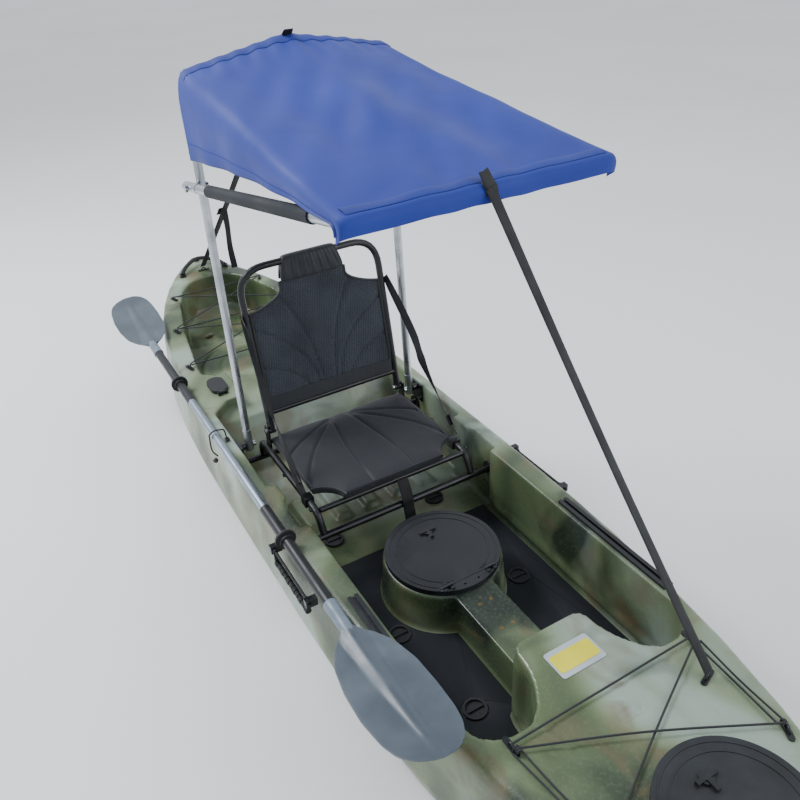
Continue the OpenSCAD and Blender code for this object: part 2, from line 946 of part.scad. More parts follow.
module hatch_lid(r) {
    lid_z = hatch_base_t + gap;
    color([0.08, 0.08, 0.1])
        difference() {
            union() {
                difference() {
                    translate([0, 0, lid_z])
                        cylinder(h = hatch_lid_t - gap, r = r, $fn = 72);
                    extrude_up(-1, 40)
                        below_chord(r, -1.2);
                }
                for (q = [0.93, 0.8])
                    translate([0, 0, lid_z + 2])
                        intersection() {
                            difference() {
                                cylinder(h = hatch_lid_t - gap - 0.8, r = r * q, $fn = 72);
                                translate([0, 0, -1])
                                    cylinder(h = 20, r = r * q - 3, $fn = 72);
                            }
                            translate([-r, hinge_y(r) + 10, -1])
                                cube([2 * r, 2 * r, 20]);
                        }
                for (x = [-r * 0.42, r * 0.42])
                    hatch_knuckle(r, x, 1);
            }
            hinge_bore(r, hatch_pin_r + run);
            // room for the ring's knuckles
            for (x = [-r * 0.42, r * 0.42])
                for (d = [-knuckle_w, knuckle_w])
                    x_pin(x + d - knuckle_w / 2, x + d + knuckle_w / 2, hinge_y(r), hinge_z, knuckle_r + gap);
            translate([0, r * latch_share, -1])
                cylinder(h = 60, r = latch_r + run);
        }
}

module hatch_latch(r) {
    top = hatch_base_t + hatch_lid_t + gap;
    color([0.04, 0.04, 0.05])
        translate([0, r * latch_share, 0]) {
            translate([0, 0, hatch_base_t - 6])
                cylinder(h = top - hatch_base_t + 8, r = latch_r);
            translate([-9, -6, hatch_base_t - 6])
                cube([31, 12, 5]);
            translate([0, 0, top])
                cylinder(h = 5, r = 15);
            translate([-26, -5, top])
                cube([52, 10, 8]);
            translate([-5, -30, top])
                cube([10, 30, 8]);
        }
}

module hatch_pins(r) {
    for (x = [-r * 0.42, r * 0.42])
        x_pin(x - knuckle_w * 1.5, x + knuckle_w * 1.5, hinge_y(r), hinge_z, hatch_pin_r);
}

module at_centre_hatch() {
    translate([0, 0, centre_hatch_z])
        children();
}

module at_front_hatch() {
    translate([0, front_hatch_y, front_hatch_z])
        children();
}

module centre_hatch_ring() {
    at_centre_hatch()
        hatch_ring(hatch_r);
}

module centre_hatch_lid() {
    at_centre_hatch()
        hatch_lid(hatch_r);
}

module centre_hatch_latch() {
    at_centre_hatch()
        hatch_latch(hatch_r);
}

module front_hatch_ring() {
    at_front_hatch()
        hatch_ring(front_hatch_r);
}

module front_hatch_lid() {
    at_front_hatch()
        hatch_lid(front_hatch_r);
}

module front_hatch_latch() {
    at_front_hatch()
        hatch_latch(front_hatch_r);
}

module hatch_hinge_pins() {
    color([0.6, 0.6, 0.62]) {
        at_centre_hatch()
            hatch_pins(hatch_r);
        at_front_hatch()
            hatch_pins(front_hatch_r);
    }
}

// ---------- seat ----------
module seat_base_frame() {
    back_y = seat_rear_y - 12;
    foot = low_bar_z + seat_tube_r + weld_gap;
    path = rounded([
        [rail_x, seat_front_y, foot], [rail_x, seat_front_y + 28, rail_z],
        [rail_x, back_y, rail_z], [rail_x, seat_rear_y, foot]
    ], 36, 5);
    color([0.05, 0.05, 0.06])
        both_sides()
            difference() {
                union() {
                    sweep(path, seat_tube_r, [1, 0, 0], 16);
                    translate([ear_in_x, seat_pivot_y - 17, rail_z - 6])
                        cube([ear_t, 34, seat_pivot_z - rail_z + 20]);
                }
                x_pin(ear_in_x - 1, ear_in_x + ear_t + 1, seat_pivot_y, seat_pivot_z, seat_pin_r);
            }
}

// Cross bars between the rails, and the two low bars that rest in the hull's sides
module seat_cross_bars() {
    inner = rail_x - seat_tube_r - contact;
    color([0.05, 0.05, 0.06]) {
        x_pin(-notch_hw + 8, notch_hw - 8, seat_front_y, low_bar_z, seat_tube_r);
        x_pin(-seat_hw + 8, seat_hw - 8, seat_rear_y, low_bar_z, seat_tube_r);
        x_pin(-inner, inner, seat_front_y + 34, rail_z, seat_tube_r - 2);
        x_pin(-inner, inner, seat_pivot_y + 30, rail_z, seat_tube_r - 2);
    }
}

module seat_flanges() {
    color([0.06, 0.06, 0.07])
        both_sides() {
            x_pin(notch_hw - 8, notch_hw, seat_front_y, low_bar_z, 24);
            x_pin(seat_hw - 8, seat_hw, seat_rear_y, low_bar_z, 24);
            x_pin(rail_x + seat_tube_r, rail_x + seat_tube_r + 5, seat_front_y + 50, rail_z, 6);
            x_pin(rail_x + seat_tube_r, rail_x + seat_tube_r + 5, seat_front_y + 250, rail_z, 6);
        }
}

module seat_pad() {
    y0 = seat_front_y + 20;
    y1 = seat_pivot_y - 8;
    cut = 60;
    color([0.13, 0.15, 0.19])
        translate([0, 0, pad_z])
            linear_extrude(height = pad_t)
                difference() {
                    polygon([
                        [-pad_hw, y0], [pad_hw, y0], [pad_hw, y1], [-pad_hw, y1]
                    ]);
                    for (s = [-1, 1])
                        translate([s * (pad_hw + 14), y0 - 14])
                            circle(r = cut + 28);
                }
}

// Backrest parts are drawn upright, with the pivot line at the origin
module at_backrest() {
    translate([0, seat_pivot_y, seat_pivot_z])
        rotate([-back_lean, 0, 0])
            children();
}

module seat_back_frame() {
    path = rounded([
        [-back_x, 0, 16], [-back_x, 0, back_h], [back_x, 0, back_h], [back_x, 0, 16]
    ], 92, 8);
    color([0.05, 0.05, 0.06])
        at_backrest()
            difference() {
                union() {
                    sweep(path, seat_tube_r, [0, 1, 0], 16);
                    both_sides() {
                        translate([back_x, 0, 0])
                            cylinder(h = 30, r = seat_tube_r + 1);
                        x_pin(back_x - seat_tube_r, back_x + seat_tube_r, 0, 0, seat_tube_r + 0.5);
                    }
                    x_pin(-back_x, back_x, 0, 60, seat_tube_r - 2);
                }
                x_pin(-back_x - 20, back_x + 20, 0, 0, seat_pin_r + run);
            }
}

module seat_pivot_pins() {
    color([0.65, 0.66, 0.68])
        both_sides() {
            x_pin(back_x - seat_tube_r - 3, ear_in_x + ear_t, seat_pivot_y, seat_pivot_z, seat_pin_r);
            x_pin(ear_in_x + ear_t, ear_in_x + ear_t + 5, seat_pivot_y, seat_pivot_z, 8);
            x_pin(back_x - seat_tube_r - 7, back_x - seat_tube_r - 1, seat_pivot_y, seat_pivot_z, 7);
        }
}

module seat_back_panel() {
    hw = back_x - seat_tube_r - gap;
    low = 60 + seat_tube_r;
    high = back_h - 118;
    color([0.25, 0.26, 0.3])
        at_backrest()
            translate([0, 6, 0])
                rotate([90, 0, 0])
                    linear_extrude(height = 14)
                        polygon([
                            [-hw, low], [hw, low], [hw, high], [hw - 36, high + 34], [hw - 92, high + 52],
                            [108, back_h - 62], [-108, back_h - 62],
                            [-hw + 92, high + 52], [-hw + 36, high + 34], [-hw, high]
                        ]);
}

module seat_headrest() {
    color([0.1, 0.1, 0.12])
        at_backrest()
            difference() {
                translate([-110, -18, back_h - 61])
                    cube([220, 34, 80]);
                translate([-111, -7.5, back_h - 62])
                    cube([222, 15, 50]);
                x_pin(-112, 112, 0, back_h, seat_tube_r + gap);
            }
}

function on_backrest(x, out, up) = [
    x, seat_pivot_y + out * cos(back_lean) + up * sin(back_lean),
    seat_pivot_z + up * cos(back_lean) - out * sin(back_lean)
];
side_strap = [
    on_backrest(back_x + seat_tube_r + 5, 0, 395), [rail_x + 7, 520, 545], [rail_x + 12, 335, rail_z + 26]
];

module seat_strap_port() {
    color([0.05, 0.05, 0.06])
        ribbon(side_strap, [0, 0.5, 0.86], 25, 2);
}

module seat_strap_starboard() {
    mirror([1, 0, 0])
        seat_strap_port();
}

// Loops on the side rails that hold the side straps' lower ends
module seat_strap_buckles() {
    color([0.06, 0.06, 0.07])
        both_sides()
            translate([rail_x, 335, rail_z])
                difference() {
                    translate([-seat_tube_r - 4, -16, -seat_tube_r - 4])
                        cube([2 * seat_tube_r + 8, 32, 2 * seat_tube_r + 8]);
                    rotate([90, 0, 0])
                        cylinder(h = 60, r = seat_tube_r, center = true);
                }
}

module seat_hold_down_strap() {
    y = seat_front_y;
    path = [
        [20, y + 34 - seat_tube_r - 3, rail_z + 6], [20, y + 2 - seat_tube_r, low_bar_z + 14],
        [20, y - seat_tube_r - 4, low_bar_z - 6], [20, y - 26, 190], [20, y - 30, floor_z + 8]
    ];
    color([0.05, 0.05, 0.06])
        ribbon(path, [1, 0, 0], 38, 2.5);
}

// ---------- canopy ----------
module canopy_base_brackets() {
    b = leg_base;
    color([0.05, 0.05, 0.06])
        both_sides()
            difference() {
                union() {
                    translate([seat_hw - 7, b[1] - 32, b[2] - 52])
                        cube([7, 64, 66]);
                    x_pin(b[0] + end_r + gap, seat_hw, b[1], b[2], 12);
                }
                x_pin(b[0], seat_hw + 1, b[1], b[2], pivot_r);
            }
}

module canopy_base_pins() {
    b = leg_base;
    color([0.65, 0.66, 0.68])
        both_sides() {
            x_pin(b[0] - end_r - 3, seat_hw, b[1], b[2], pivot_r);
            x_pin(b[0] - end_r - 8, b[0] - end_r - gap, b[1], b[2], 9);
        }
}

module canopy_main_bow() {
    stub_top = on_leg(leg_base[2] + 60);
    stub_low = on_leg(leg_base[2] - 18);
    peak_gap = 45;
    path = rounded([
        on_leg(leg_base[2] + 40), [leg_top[0], leg_top[1], canopy_h],
        [peak_gap, leg_top[1], canopy_h + canopy_peak - 4]
    ], corner_r, 7);
    color([0.7, 0.72, 0.75])
        both_sides()
            difference() {
                union() {
                    rod(stub_low, stub_top, end_r);
                    sweep(path, bow_tube_r, [0, 1, 0], 16);
                }
                x_pin(200, 400, leg_base[1], leg_base[2], pivot_r + run);
                x_pin(200, 400, arm_pivot[1], arm_z, pivot_r);
            }
}

module canopy_bow_connector() {
    z = canopy_h + canopy_peak;
    color([0.6, 0.62, 0.65])
        difference() {
            sweep(rounded([
                [-62, leg_top[1], z - 7.6], [0, leg_top[1], z + 1], [62, leg_top[1], z - 7.6]
            ], 30, 5), bow_tube_r + 3, [0, 1, 0], 16);
            both_sides()
                rod([45, leg_top[1], z - 4], [90, leg_top[1], z - 13.54], bow_tube_r + 0.15);
        }
}

module canopy_arm_pins() {
    p = arm_pivot;
    color([0.65, 0.66, 0.68])
        both_sides() {
            x_pin(p[0] - bow_tube_r - 4, arm_x + end_r + 3, p[1], p[2], pivot_r);
            x_pin(arm_x + end_r + gap, arm_x + end_r + 7, p[1], p[2], 10);
            x_pin(p[0] - bow_tube_r - 6, p[0] - bow_tube_r, p[1], p[2], 8);
        }
}

function on_arm(y) = let (a = [arm_x, arm_pivot[1], arm_z])
    a + (front_corner - a) * (a[1] - y) / (a[1] - front_corner[1]);

module canopy_front_bow() {
    tail = on_arm(arm_pivot[1] + 48);
    root = on_arm(arm_pivot[1] - 60);
    start = on_arm(arm_pivot[1] - 40);
    path = rounded([start, front_corner, flip_x(front_corner), flip_x(start)], 62, 7);
    color([0.55, 0.57, 0.6])
        difference() {
            union() {
                both_sides()
                    rod(tail, root, end_r);
                sweep(path, bow_tube_r, [0, 0.15, 1], 16);
            }
            x_pin(-400, 400, arm_pivot[1], arm_z, pivot_r + run);
        }
}

module canopy_arm_sleeves() {
    a = on_arm(560);
    b = on_arm(-60);
    color([0.05, 0.05, 0.06])
        both_sides()
            difference() {
                rod(a, b, bow_tube_r + 3.5);
                rod(a - (b - a) * 0.1, b + (b - a) * 0.1, bow_tube_r + 0.1);
            }
}

// Cloth: a row of lines from the main bow to the front bow, each from port to starboard
cloth_along = 8;
cloth_corner = 0.8;
cloth_us = concat(
    [-1, -0.9], [for (i = [-5:5]) cloth_corner * i / 5], [0.9, 1]
);
function rear_edge(u) = let (s = abs(u), side = sign(u), f = s / cloth_corner)
    s <= cloth_corner
        ? [side * (leg_top[0] + 12) * f, leg_top[1], canopy_h + canopy_peak * (1 - f) + cloth_lift + 9]
        : [side * (leg_top[0] + cloth_lift + 6), leg_top[1] - 3,
           canopy_h + (flap_z - canopy_h) * (s - cloth_corner) / (1 - cloth_corner)];
function front_edge(u) = let (s = abs(u), side = sign(u), f = s / cloth_corner)
    s <= cloth_corner
        ? [side * (front_corner[0] - 18) * f, front_bar_y + 4, front_bar_z + cloth_lift + 5]
        : [side * (front_corner[0] + cloth_lift + 9), front_bar_y + 62,
           front_bar_z + 10 - 4 * (s - cloth_corner) / (1 - cloth_corner)];
function cloth_point(u, v) = let (
    a = rear_edge(u), b = front_edge(u), sag = 26 * 4 * v * (1 - v) * (1 - abs(u)))
    a + (b - a) * v - [0, 0, sag];

module canopy_cloth() {
    rings = [for (j = [0:cloth_along]) let (v = j / cloth_along)
        concat(
            [for (u = cloth_us) cloth_point(u, v)],
            [for (u = rev(cloth_us)) cloth_point(u, v) - (abs(u) > 0.85
                ? [sign(u) * cloth_t, 0, 0.4] : [sign(u) * abs(u) * cloth_t * 0.9, 0, cloth_t])]
        )];
    color([0.15, 0.33, 0.7])
        skin_rings(rev(rings), strip = true);
}

module canopy_front_strap() {
    foot = over_deck(front_strap_foot[0], front_strap_foot[1], 19.5);
    top = [0, front_bar_y - bow_tube_r - 7, front_bar_z];
    color([0.05, 0.05, 0.06])
        ribbon([top + [0, 4, 12], top, foot], [1, 0.3, 0], strap_w, 2);
}

module canopy_rear_strap() {
    foot = over_deck(rear_strap_foot[0], rear_strap_foot[1], 19.5);
    top = [0, leg_top[1] + bow_tube_r + 6, canopy_h + canopy_peak];
    color([0.05, 0.05, 0.06]) {
        ribbon([top + [0, -6, 14], top, foot], [1, 0, 0], strap_w * 0.85, 2);
        ribbon([strap_at(0.62) + [0, -4, -8], strap_at(0.62) + [0, -2, -120], strap_at(0.62) + [0, 0, -250]],
            [1, 0, 0], strap_w * 0.85, 2);
    }
}
function strap_at(s) = let (
    a = [0, leg_top[1] + bow_tube_r + 6, canopy_h + canopy_peak],
    b = over_deck(rear_strap_foot[0], rear_strap_foot[1], 19.5))
    a + (b - a) * s;

module canopy_strap_buckle() {
    p = strap_at(0.62);
    q = strap_at(0.655);
    color([0.05, 0.05, 0.06])
        ribbon([p + [0, 2.8, 2.8], q + [0, 2.8, 2.8]], [1, 0, 0], strap_w + 8, 3);
}

// ---------- paddle ----------
// The half paddle is drawn along +Y, with its ferrule end at the origin
module paddle_at(s) {
    translate([paddle_x, paddle_y, paddle_z])
        mirror([0, s < 0 ? 1 : 0, 0])
            children();
}

module y_rod(y0, y1, r) {
    translate([0, y0, 0])
        rotate([-90, 0, 0])
            cylinder(h = y1 - y0, r = r);
}

module half_shaft() {
    color([0.7, 0.72, 0.76])
        difference() {
            union() {
                y_rod(0.3, sleeve_half + 30, shaft_r);
                y_rod(silver_half, sleeve_half, shaft_r + 1.2);
            }
            y_rod(-1, sleeve_half + 31, shaft_r - shaft_wall);
        }
}

// Spigot on the near half that the far half turns on
module ferrule() {
    color([0.5, 0.52, 0.55])
        difference() {
            union() {
                y_rod(-60, 60, shaft_r - shaft_wall - run);
                y_rod(-60, 0.3, shaft_r - shaft_wall);
            }
            y_rod(-61, 61, shaft_r - shaft_wall - 2);
        }
}

module half_blade() {
    w = blade_w / 2;
    y0 = socket_half;
    y1 = paddle_half;
    bend_r = 1900;
    color([0.5, 0.55, 0.6]) {
        difference() {
            y_rod(sleeve_half + 0.3, socket_half + 14, shaft_r + 4);
            y_rod(sleeve_half, sleeve_half + 30.3, shaft_r + 0.1);
        }
        intersection() {
            translate([0, y0, bend_r - 2])
                rotate([0, 90, 0])
                    difference() {
                        cylinder(h = 2 * blade_w, r = bend_r, center = true, $fn = 240);
                        cylinder(h = 2 * blade_w + 1, r = bend_r - blade_t, center = true, $fn = 240);
                    }
            extrude_up(-40, 120)
                polygon([
                    [-12, y0 - 10], [12, y0 - 10], [w * 0.55, y0 + 45], [w * 0.86, y0 + 105], [w, y0 + 190],
                    [w * 0.98, y0 + 275], [w * 0.86, y1 - 62], [w * 0.62, y1 - 18], [w * 0.3, y1],
                    [-w * 0.2, y1 - 10], [-w * 0.62, y1 - 52], [-w * 0.9, y1 - 120], [-w, y1 - 215],
                    [-w * 0.92, y0 + 130], [-w * 0.6, y0 + 55]
                ]);
        }
        translate([0, y0 + 2, 3])
            rotate([-92, 0, 0])
                cylinder(h = 230, r1 = 13, r2 = 3);
    }
}

module drip_ring() {
    color([0.05, 0.05, 0.06])
        difference() {
            union() {
                y_rod(ring_half - 14, ring_half + 14, shaft_r + 6);
                y_rod(ring_half - 3, ring_half + 3, drip_r);
            }
            y_rod(ring_half - 20, ring_half + 20, shaft_r + 1.3);
        }
}

module paddle_shaft_near() {
    paddle_at(-1)
        half_shaft();
    paddle_at(1)
        ferrule();
}

module paddle_blade_near() {
    paddle_at(-1)
        half_blade();
}

module paddle_drip_ring_near() {
    paddle_at(-1)
        drip_ring();
}

module paddle_shaft_far() {
    paddle_at(1)
        half_shaft();
}

module paddle_blade_far() {
    paddle_at(1)
        half_blade();
}

module paddle_drip_ring_far() {
    paddle_at(1)
        drip_ring();
}

// Shock cord that keeps the shaft on the gunwale, with its eye on the rim
module paddle_keeper() {
    eye_x = -seat_hw - 22;
    z = deck_z(eye_x, keeper_y);
    over = paddle_z + shaft_r + 5;
    path = rounded([
        [eye_x, keeper_y, z + 8], [eye_x - 4, keeper_y, over - 6], [paddle_x, keeper_y, over + 2],
        [paddle_x - shaft_r - 6, keeper_y, over - 10], [paddle_x - shaft_r - 6, keeper_y + 4, z - 26],
        [-beam / 2 + 6, keeper_y + 6, z - 60]
    ], 14, 3);
    color([0.04, 0.04, 0.05]) {
        sweep(path, 2.5, [0, 1, 0], 8);
        translate([eye_x, keeper_y, z - 1])
            cylinder(h = 9, r = 9);
        translate([-beam / 2 - 6, keeper_y + 6, z - 66])
            sphere(r = 9, $fn = 24);
    }
}

hull();
floor_mat_port();
floor_mat_starboard();
scupper_plugs();
brass_inserts();
gear_track_port();
gear_track_starboard();
deck_pad_eyes();
tankwell_pad_eyes();
deck_cord();
deck_bungee();
tankwell_bungee();
label_plate();
side_handle_mounts();
side_handle_port();
side_handle_starboard();
bow_handle();
stern_handle();
rod_holder_port();
rod_holder_starboard();
rod_cap_port();
rod_cap_starboard();
drain_plug();
centre_hatch_ring();
centre_hatch_lid();
centre_hatch_latch();
front_hatch_ring();
front_hatch_lid();
front_hatch_latch();
hatch_hinge_pins();
seat_base_frame();
seat_cross_bars();
seat_flanges();
seat_pad();
seat_pivot_pins();
seat_back_frame();
seat_back_panel();
seat_headrest();
seat_strap_port();
seat_strap_starboard();
seat_strap_buckles();
seat_hold_down_strap();
canopy_base_brackets();
canopy_base_pins();
canopy_main_bow();
canopy_bow_connector();
canopy_arm_pins();
canopy_front_bow();
canopy_arm_sleeves();
canopy_cloth();
canopy_front_strap();
canopy_rear_strap();
canopy_strap_buckle();
paddle_shaft_near();
paddle_blade_near();
paddle_drip_ring_near();
paddle_shaft_far();
paddle_blade_far();
paddle_drip_ring_far();
paddle_keeper();
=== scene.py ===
"""Visual model of a sit-on-top paddling boat with a framed seat, a sun canopy and a two-part paddle.

Metres throughout: +Z is up, the bow points along -Y and port is +X.
"""

import logging
import math
from collections.abc import Callable, Iterator, Sequence
from contextlib import contextmanager
from dataclasses import dataclass
from enum import Enum

import bmesh
import bpy
import numpy as np
from mathutils import Matrix, Vector
from mathutils.bvhtree import BVHTree


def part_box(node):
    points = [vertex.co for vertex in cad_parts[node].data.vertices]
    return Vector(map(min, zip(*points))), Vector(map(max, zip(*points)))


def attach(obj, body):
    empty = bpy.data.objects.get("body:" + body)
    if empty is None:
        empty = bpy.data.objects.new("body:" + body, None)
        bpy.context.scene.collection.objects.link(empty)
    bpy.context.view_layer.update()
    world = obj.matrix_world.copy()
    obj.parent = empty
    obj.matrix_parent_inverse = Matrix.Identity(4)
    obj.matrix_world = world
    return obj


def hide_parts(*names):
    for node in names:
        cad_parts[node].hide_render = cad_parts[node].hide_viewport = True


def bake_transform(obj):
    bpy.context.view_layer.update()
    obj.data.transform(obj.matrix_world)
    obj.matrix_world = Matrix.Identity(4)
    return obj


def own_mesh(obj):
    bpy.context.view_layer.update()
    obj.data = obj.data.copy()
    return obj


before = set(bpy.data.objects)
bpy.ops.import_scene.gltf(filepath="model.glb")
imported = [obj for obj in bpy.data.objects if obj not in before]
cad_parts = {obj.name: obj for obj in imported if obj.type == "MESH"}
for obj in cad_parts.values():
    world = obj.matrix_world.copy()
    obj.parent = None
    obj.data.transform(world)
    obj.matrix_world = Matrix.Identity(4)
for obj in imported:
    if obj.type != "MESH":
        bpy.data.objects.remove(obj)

LOG = logging.getLogger("paddling_boat")
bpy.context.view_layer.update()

Point = tuple[float, float, float]
Socket = bpy.types.NodeSocket

# Hull lines that the fittings and the cords follow
BOW_Y, STERN_Y = -1.500, 2.250
HALF_BEAM = 0.415
SIDE_HEIGHT = 0.360
BOW_RISE, STERN_RISE = 0.090, 0.060
DECK_CROWN = 0.014
FLOOR_Z = 0.120
TANK_Z = 0.215

# Seat
BACK_PIVOT: Point = (0.0, 0.655, 0.399)
BACK_LEAN = math.radians(10)

# Canopy
LEG_TOP: Point = (0.295, 0.713, 1.471)
CANOPY_PEAK = 0.057
FRONT_CORNER: Point = (0.298, -0.203, 1.350)
CANOPY_TUBE = 0.0125

# Paddle
PADDLE_AXIS: Point = (-0.405, 0.645, 0.392)
SILVER_HALF, SLEEVE_HALF, SOCKET_HALF, PADDLE_HALF = 0.345, 0.770, 0.868, 1.285
BLADE_WIDTH = 0.186
SHAFT_RADIUS = 0.014


class Side(Enum):
    """A side of the boat, with the sign of its X."""

    PORT = 1
    STARBOARD = -1


class Half(Enum):
    """A half of the paddle, with the way along Y that it points."""

    NEAR = -1
    FAR = 1


def linear(code: str) -> tuple[float, float, float, float]:
    """Turn an sRGB hex value into linear colour.

    Args:
        code: The colour as "#rrggbb".

    Returns:
        Red, green, blue and a full alpha, linear.
    """
    parts = [int(code[i:i + 2], 16) / 255 for i in (1, 3, 5)]
    red, green, blue = (c / 12.92 if c <= 0.04045 else ((c + 0.055) / 1.055) ** 2.4 for c in parts)
    return red, green, blue, 1.0


def add_node(
    tree: bpy.types.NodeTree,
    kind: str,
    inputs: dict | None = None,
    stops: Sequence[tuple[float, str]] = (),
    **settings: object,
) -> bpy.types.Node:
    """Add one node with its settings and links.

    Args:
        tree: The material's node tree.
        kind: The node's type name.
        inputs: Sockets by name or number, each with a value or an output to link.
        stops: Positions and hex colours of a colour ramp.
        settings: The node's properties.

    Returns:
        The new node.
    """
    made = tree.nodes.new(kind)
    for name, value in settings.items():
        setattr(made, name, value)
    for key, value in (inputs or {}).items():
        if isinstance(value, Socket):
            tree.links.new(value, made.inputs[key])
        else:
            made.inputs[key].default_value = value
    for i, (place, code) in enumerate(stops):
        band = made.color_ramp.elements
        stop = band[i] if i < 2 else band.new(place)
        stop.position, stop.color = place, linear(code)
    return made


@dataclass(frozen=True)
class Finish:
    """A surface finish with a fine moulded grain and a soft change of shade.

    Attributes:
        name: The material's name.
        colour: Its main colour.
        shade: The colour that it drifts to in patches.
        roughness: Its mean roughness.
        metallic: 1 for a metal.
        ior: Index of refraction, which a metal leaves alone.
        grain_mm: Size of its grain.
        depth_mm: Height of its grain.
        patch_mm: Size of the patches of shade.
    """

    name: str
    colour: str
    shade: str
    roughness: float = 0.45
    metallic: float = 0.0
    ior: float = 1.5
    grain_mm: float = 1.6
    depth_mm: float = 0.12
    patch_mm: float = 60.0
    spread: float = 0.12

    def make(self) -> bpy.types.Material:
        """Return the finish's material, building it the first time."""
        known = bpy.data.materials.get(self.name)
        if known is not None:
            return known
        material = bpy.data.materials.new(self.name)
        material.use_nodes = True
        tree = material.node_tree
        shader = tree.nodes["Principled BSDF"]
        shader.inputs["Metallic"].default_value = self.metallic
        if not self.metallic:
            shader.inputs["IOR"].default_value = self.ior
        self.polish(shader)
        place = add_node(tree, "ShaderNodeTexCoord")
        colour, rough, height = self.pattern(tree, place)
        bump = add_node(tree, "ShaderNodeBump", {
            "Strength": 1.0, "Distance": self.depth_mm / 1000, "Height": height})
        tree.links.new(colour, shader.inputs["Base Color"])
        tree.links.new(rough, shader.inputs["Roughness"])
        tree.links.new(bump.outputs["Normal"], shader.inputs["Normal"])
        return material

    def polish(self, shader: bpy.types.Node) -> None:
        """Set what is the same all over the surface; a plain finish has nothing more."""

    def noise(self, tree: bpy.types.NodeTree, where: Socket, size_mm: float, detail: float = 3.0,
              warp: float = 0.0) -> Socket:
        """Return soft noise whose features are about that many millimetres."""
        made = add_node(tree, "ShaderNodeTexNoise", {
            "Vector": where, "Scale": 1000 / size_mm, "Detail": detail, "Distortion": warp})
        return made.outputs[0]

    def gloss(self, tree: bpy.types.NodeTree, where: Socket) -> Socket:
        """Return a roughness that drifts about its mean."""
        drift = self.noise(tree, where, self.patch_mm, 4.0)
        low, high = self.roughness - self.spread, self.roughness + self.spread
        made = add_node(tree, "ShaderNodeMapRange", {"Value": drift, 1: 0.3, 2: 0.7, 3: low, 4: high})
        return made.outputs[0]

    def pattern(self, tree: bpy.types.NodeTree, place: bpy.types.Node) -> tuple[Socket, Socket, Socket]:
        """Draw the surface.

        Args:
            tree: The material's node tree.
            place: Its texture coordinates.

        Returns:
            Colour, roughness and height.
        """
        where = place.outputs["Object"]
        patches = self.noise(tree, where, self.patch_mm)
        colour = add_node(tree, "ShaderNodeValToRGB", {"Fac": patches},
                          [(0.35, self.colour), (0.7, self.shade)])
        return colour.outputs[0], self.gloss(tree, where), self.noise(tree, where, self.grain_mm, 2.0)


@dataclass(frozen=True)
class MarbledPolyethylene(Finish):
    """Rotomoulded polyethylene in swirled camouflage: three powders that ran together in the mould, and a fourth, pale
    bluish band that is a painted highlight of sky sheen.
    """

    pale: str = "#7f8c6f"
    tan: str = "#6f5f45"
    dark: str = "#18221b"
    # The palest, bluish swirl colour is a painted highlight: sky sheen painted into the camouflage.
    painted_highlight: str = "#94a395"

    def pattern(self, tree: bpy.types.NodeTree, place: bpy.types.Node) -> tuple[Socket, Socket, Socket]:
        """Draw olive and pale swirls whose palest, bluish band is a painted highlight, darker clouds, a few tan streaks
        and a frosted bloom.
        """
        where = place.outputs["Object"]
        swirl = self.noise(tree, where, 520.0, 2.5, 0.9)
        base = add_node(tree, "ShaderNodeValToRGB", {"Fac": swirl}, [
            (0.38, self.colour), (0.46, self.shade), (0.54, self.pale), (0.63, self.painted_highlight)])
        cloud = self.noise(tree, add_node(tree, "ShaderNodeMapping", {
            "Vector": where, "Location": (3.1, 1.7, 0.4)}).outputs[0], 430.0, 3.0, 0.8)
        dark_share = add_node(tree, "ShaderNodeMapRange", {"Value": cloud, 1: 0.50, 2: 0.63, 3: 0.0, 4: 0.88})
        darker = add_node(tree, "ShaderNodeMix", {
            0: dark_share.outputs[0], 6: base.outputs[0], 7: linear(self.dark)}, data_type="RGBA")
        streak = self.noise(tree, add_node(tree, "ShaderNodeMapping", {
            "Vector": where, "Location": (7.3, 5.1, 2.2)}).outputs[0], 210.0, 3.0, 1.4)
        tan_share = add_node(tree, "ShaderNodeMapRange", {"Value": streak, 1: 0.54, 2: 0.68, 3: 0.0, 4: 0.6})
        tanned = add_node(tree, "ShaderNodeMix", {
            0: tan_share.outputs[0], 6: darker.outputs[2], 7: linear(self.tan)}, data_type="RGBA")
        speck = self.noise(tree, where, 9.0, 2.0)
        bloom = add_node(tree, "ShaderNodeMapRange", {"Value": speck, 1: 0.5, 2: 0.85, 3: 0.0, 4: 0.22})
        colour = add_node(tree, "ShaderNodeMix", {
            0: bloom.outputs[0], 6: tanned.outputs[2], 7: linear(self.pale)}, data_type="RGBA")
        peel = self.noise(tree, where, self.grain_mm, 3.0)
        return colour.outputs[2], self.gloss(tree, where), peel


@dataclass(frozen=True)
class BrushedTube(Finish):
    """Drawn aluminium or steel tube: fine lines along the tube and a satin sheen."""

    along: Point = (1.0, 1.0, 0.02)

    def pattern(self, tree: bpy.types.NodeTree, place: bpy.types.Node) -> tuple[Socket, Socket, Socket]:
        """Draw fine drawn lines and small dull patches."""
        where = place.outputs["Object"]
        lines = add_node(tree, "ShaderNodeMapping", {"Vector": where, "Scale": self.along})
        drawn = self.noise(tree, lines.outputs[0], self.grain_mm, 2.0)
        patches = self.noise(tree, where, self.patch_mm)
        colour = add_node(tree, "ShaderNodeValToRGB", {"Fac": patches},
                          [(0.3, self.colour), (0.75, self.shade)])
        return colour.outputs[0], self.gloss(tree, where), drawn


class Weave(Enum):
    """How a fabric's threads cross."""

    PLAIN = "plain"
    RIBBED = "ribbed"
    MESH = "mesh"


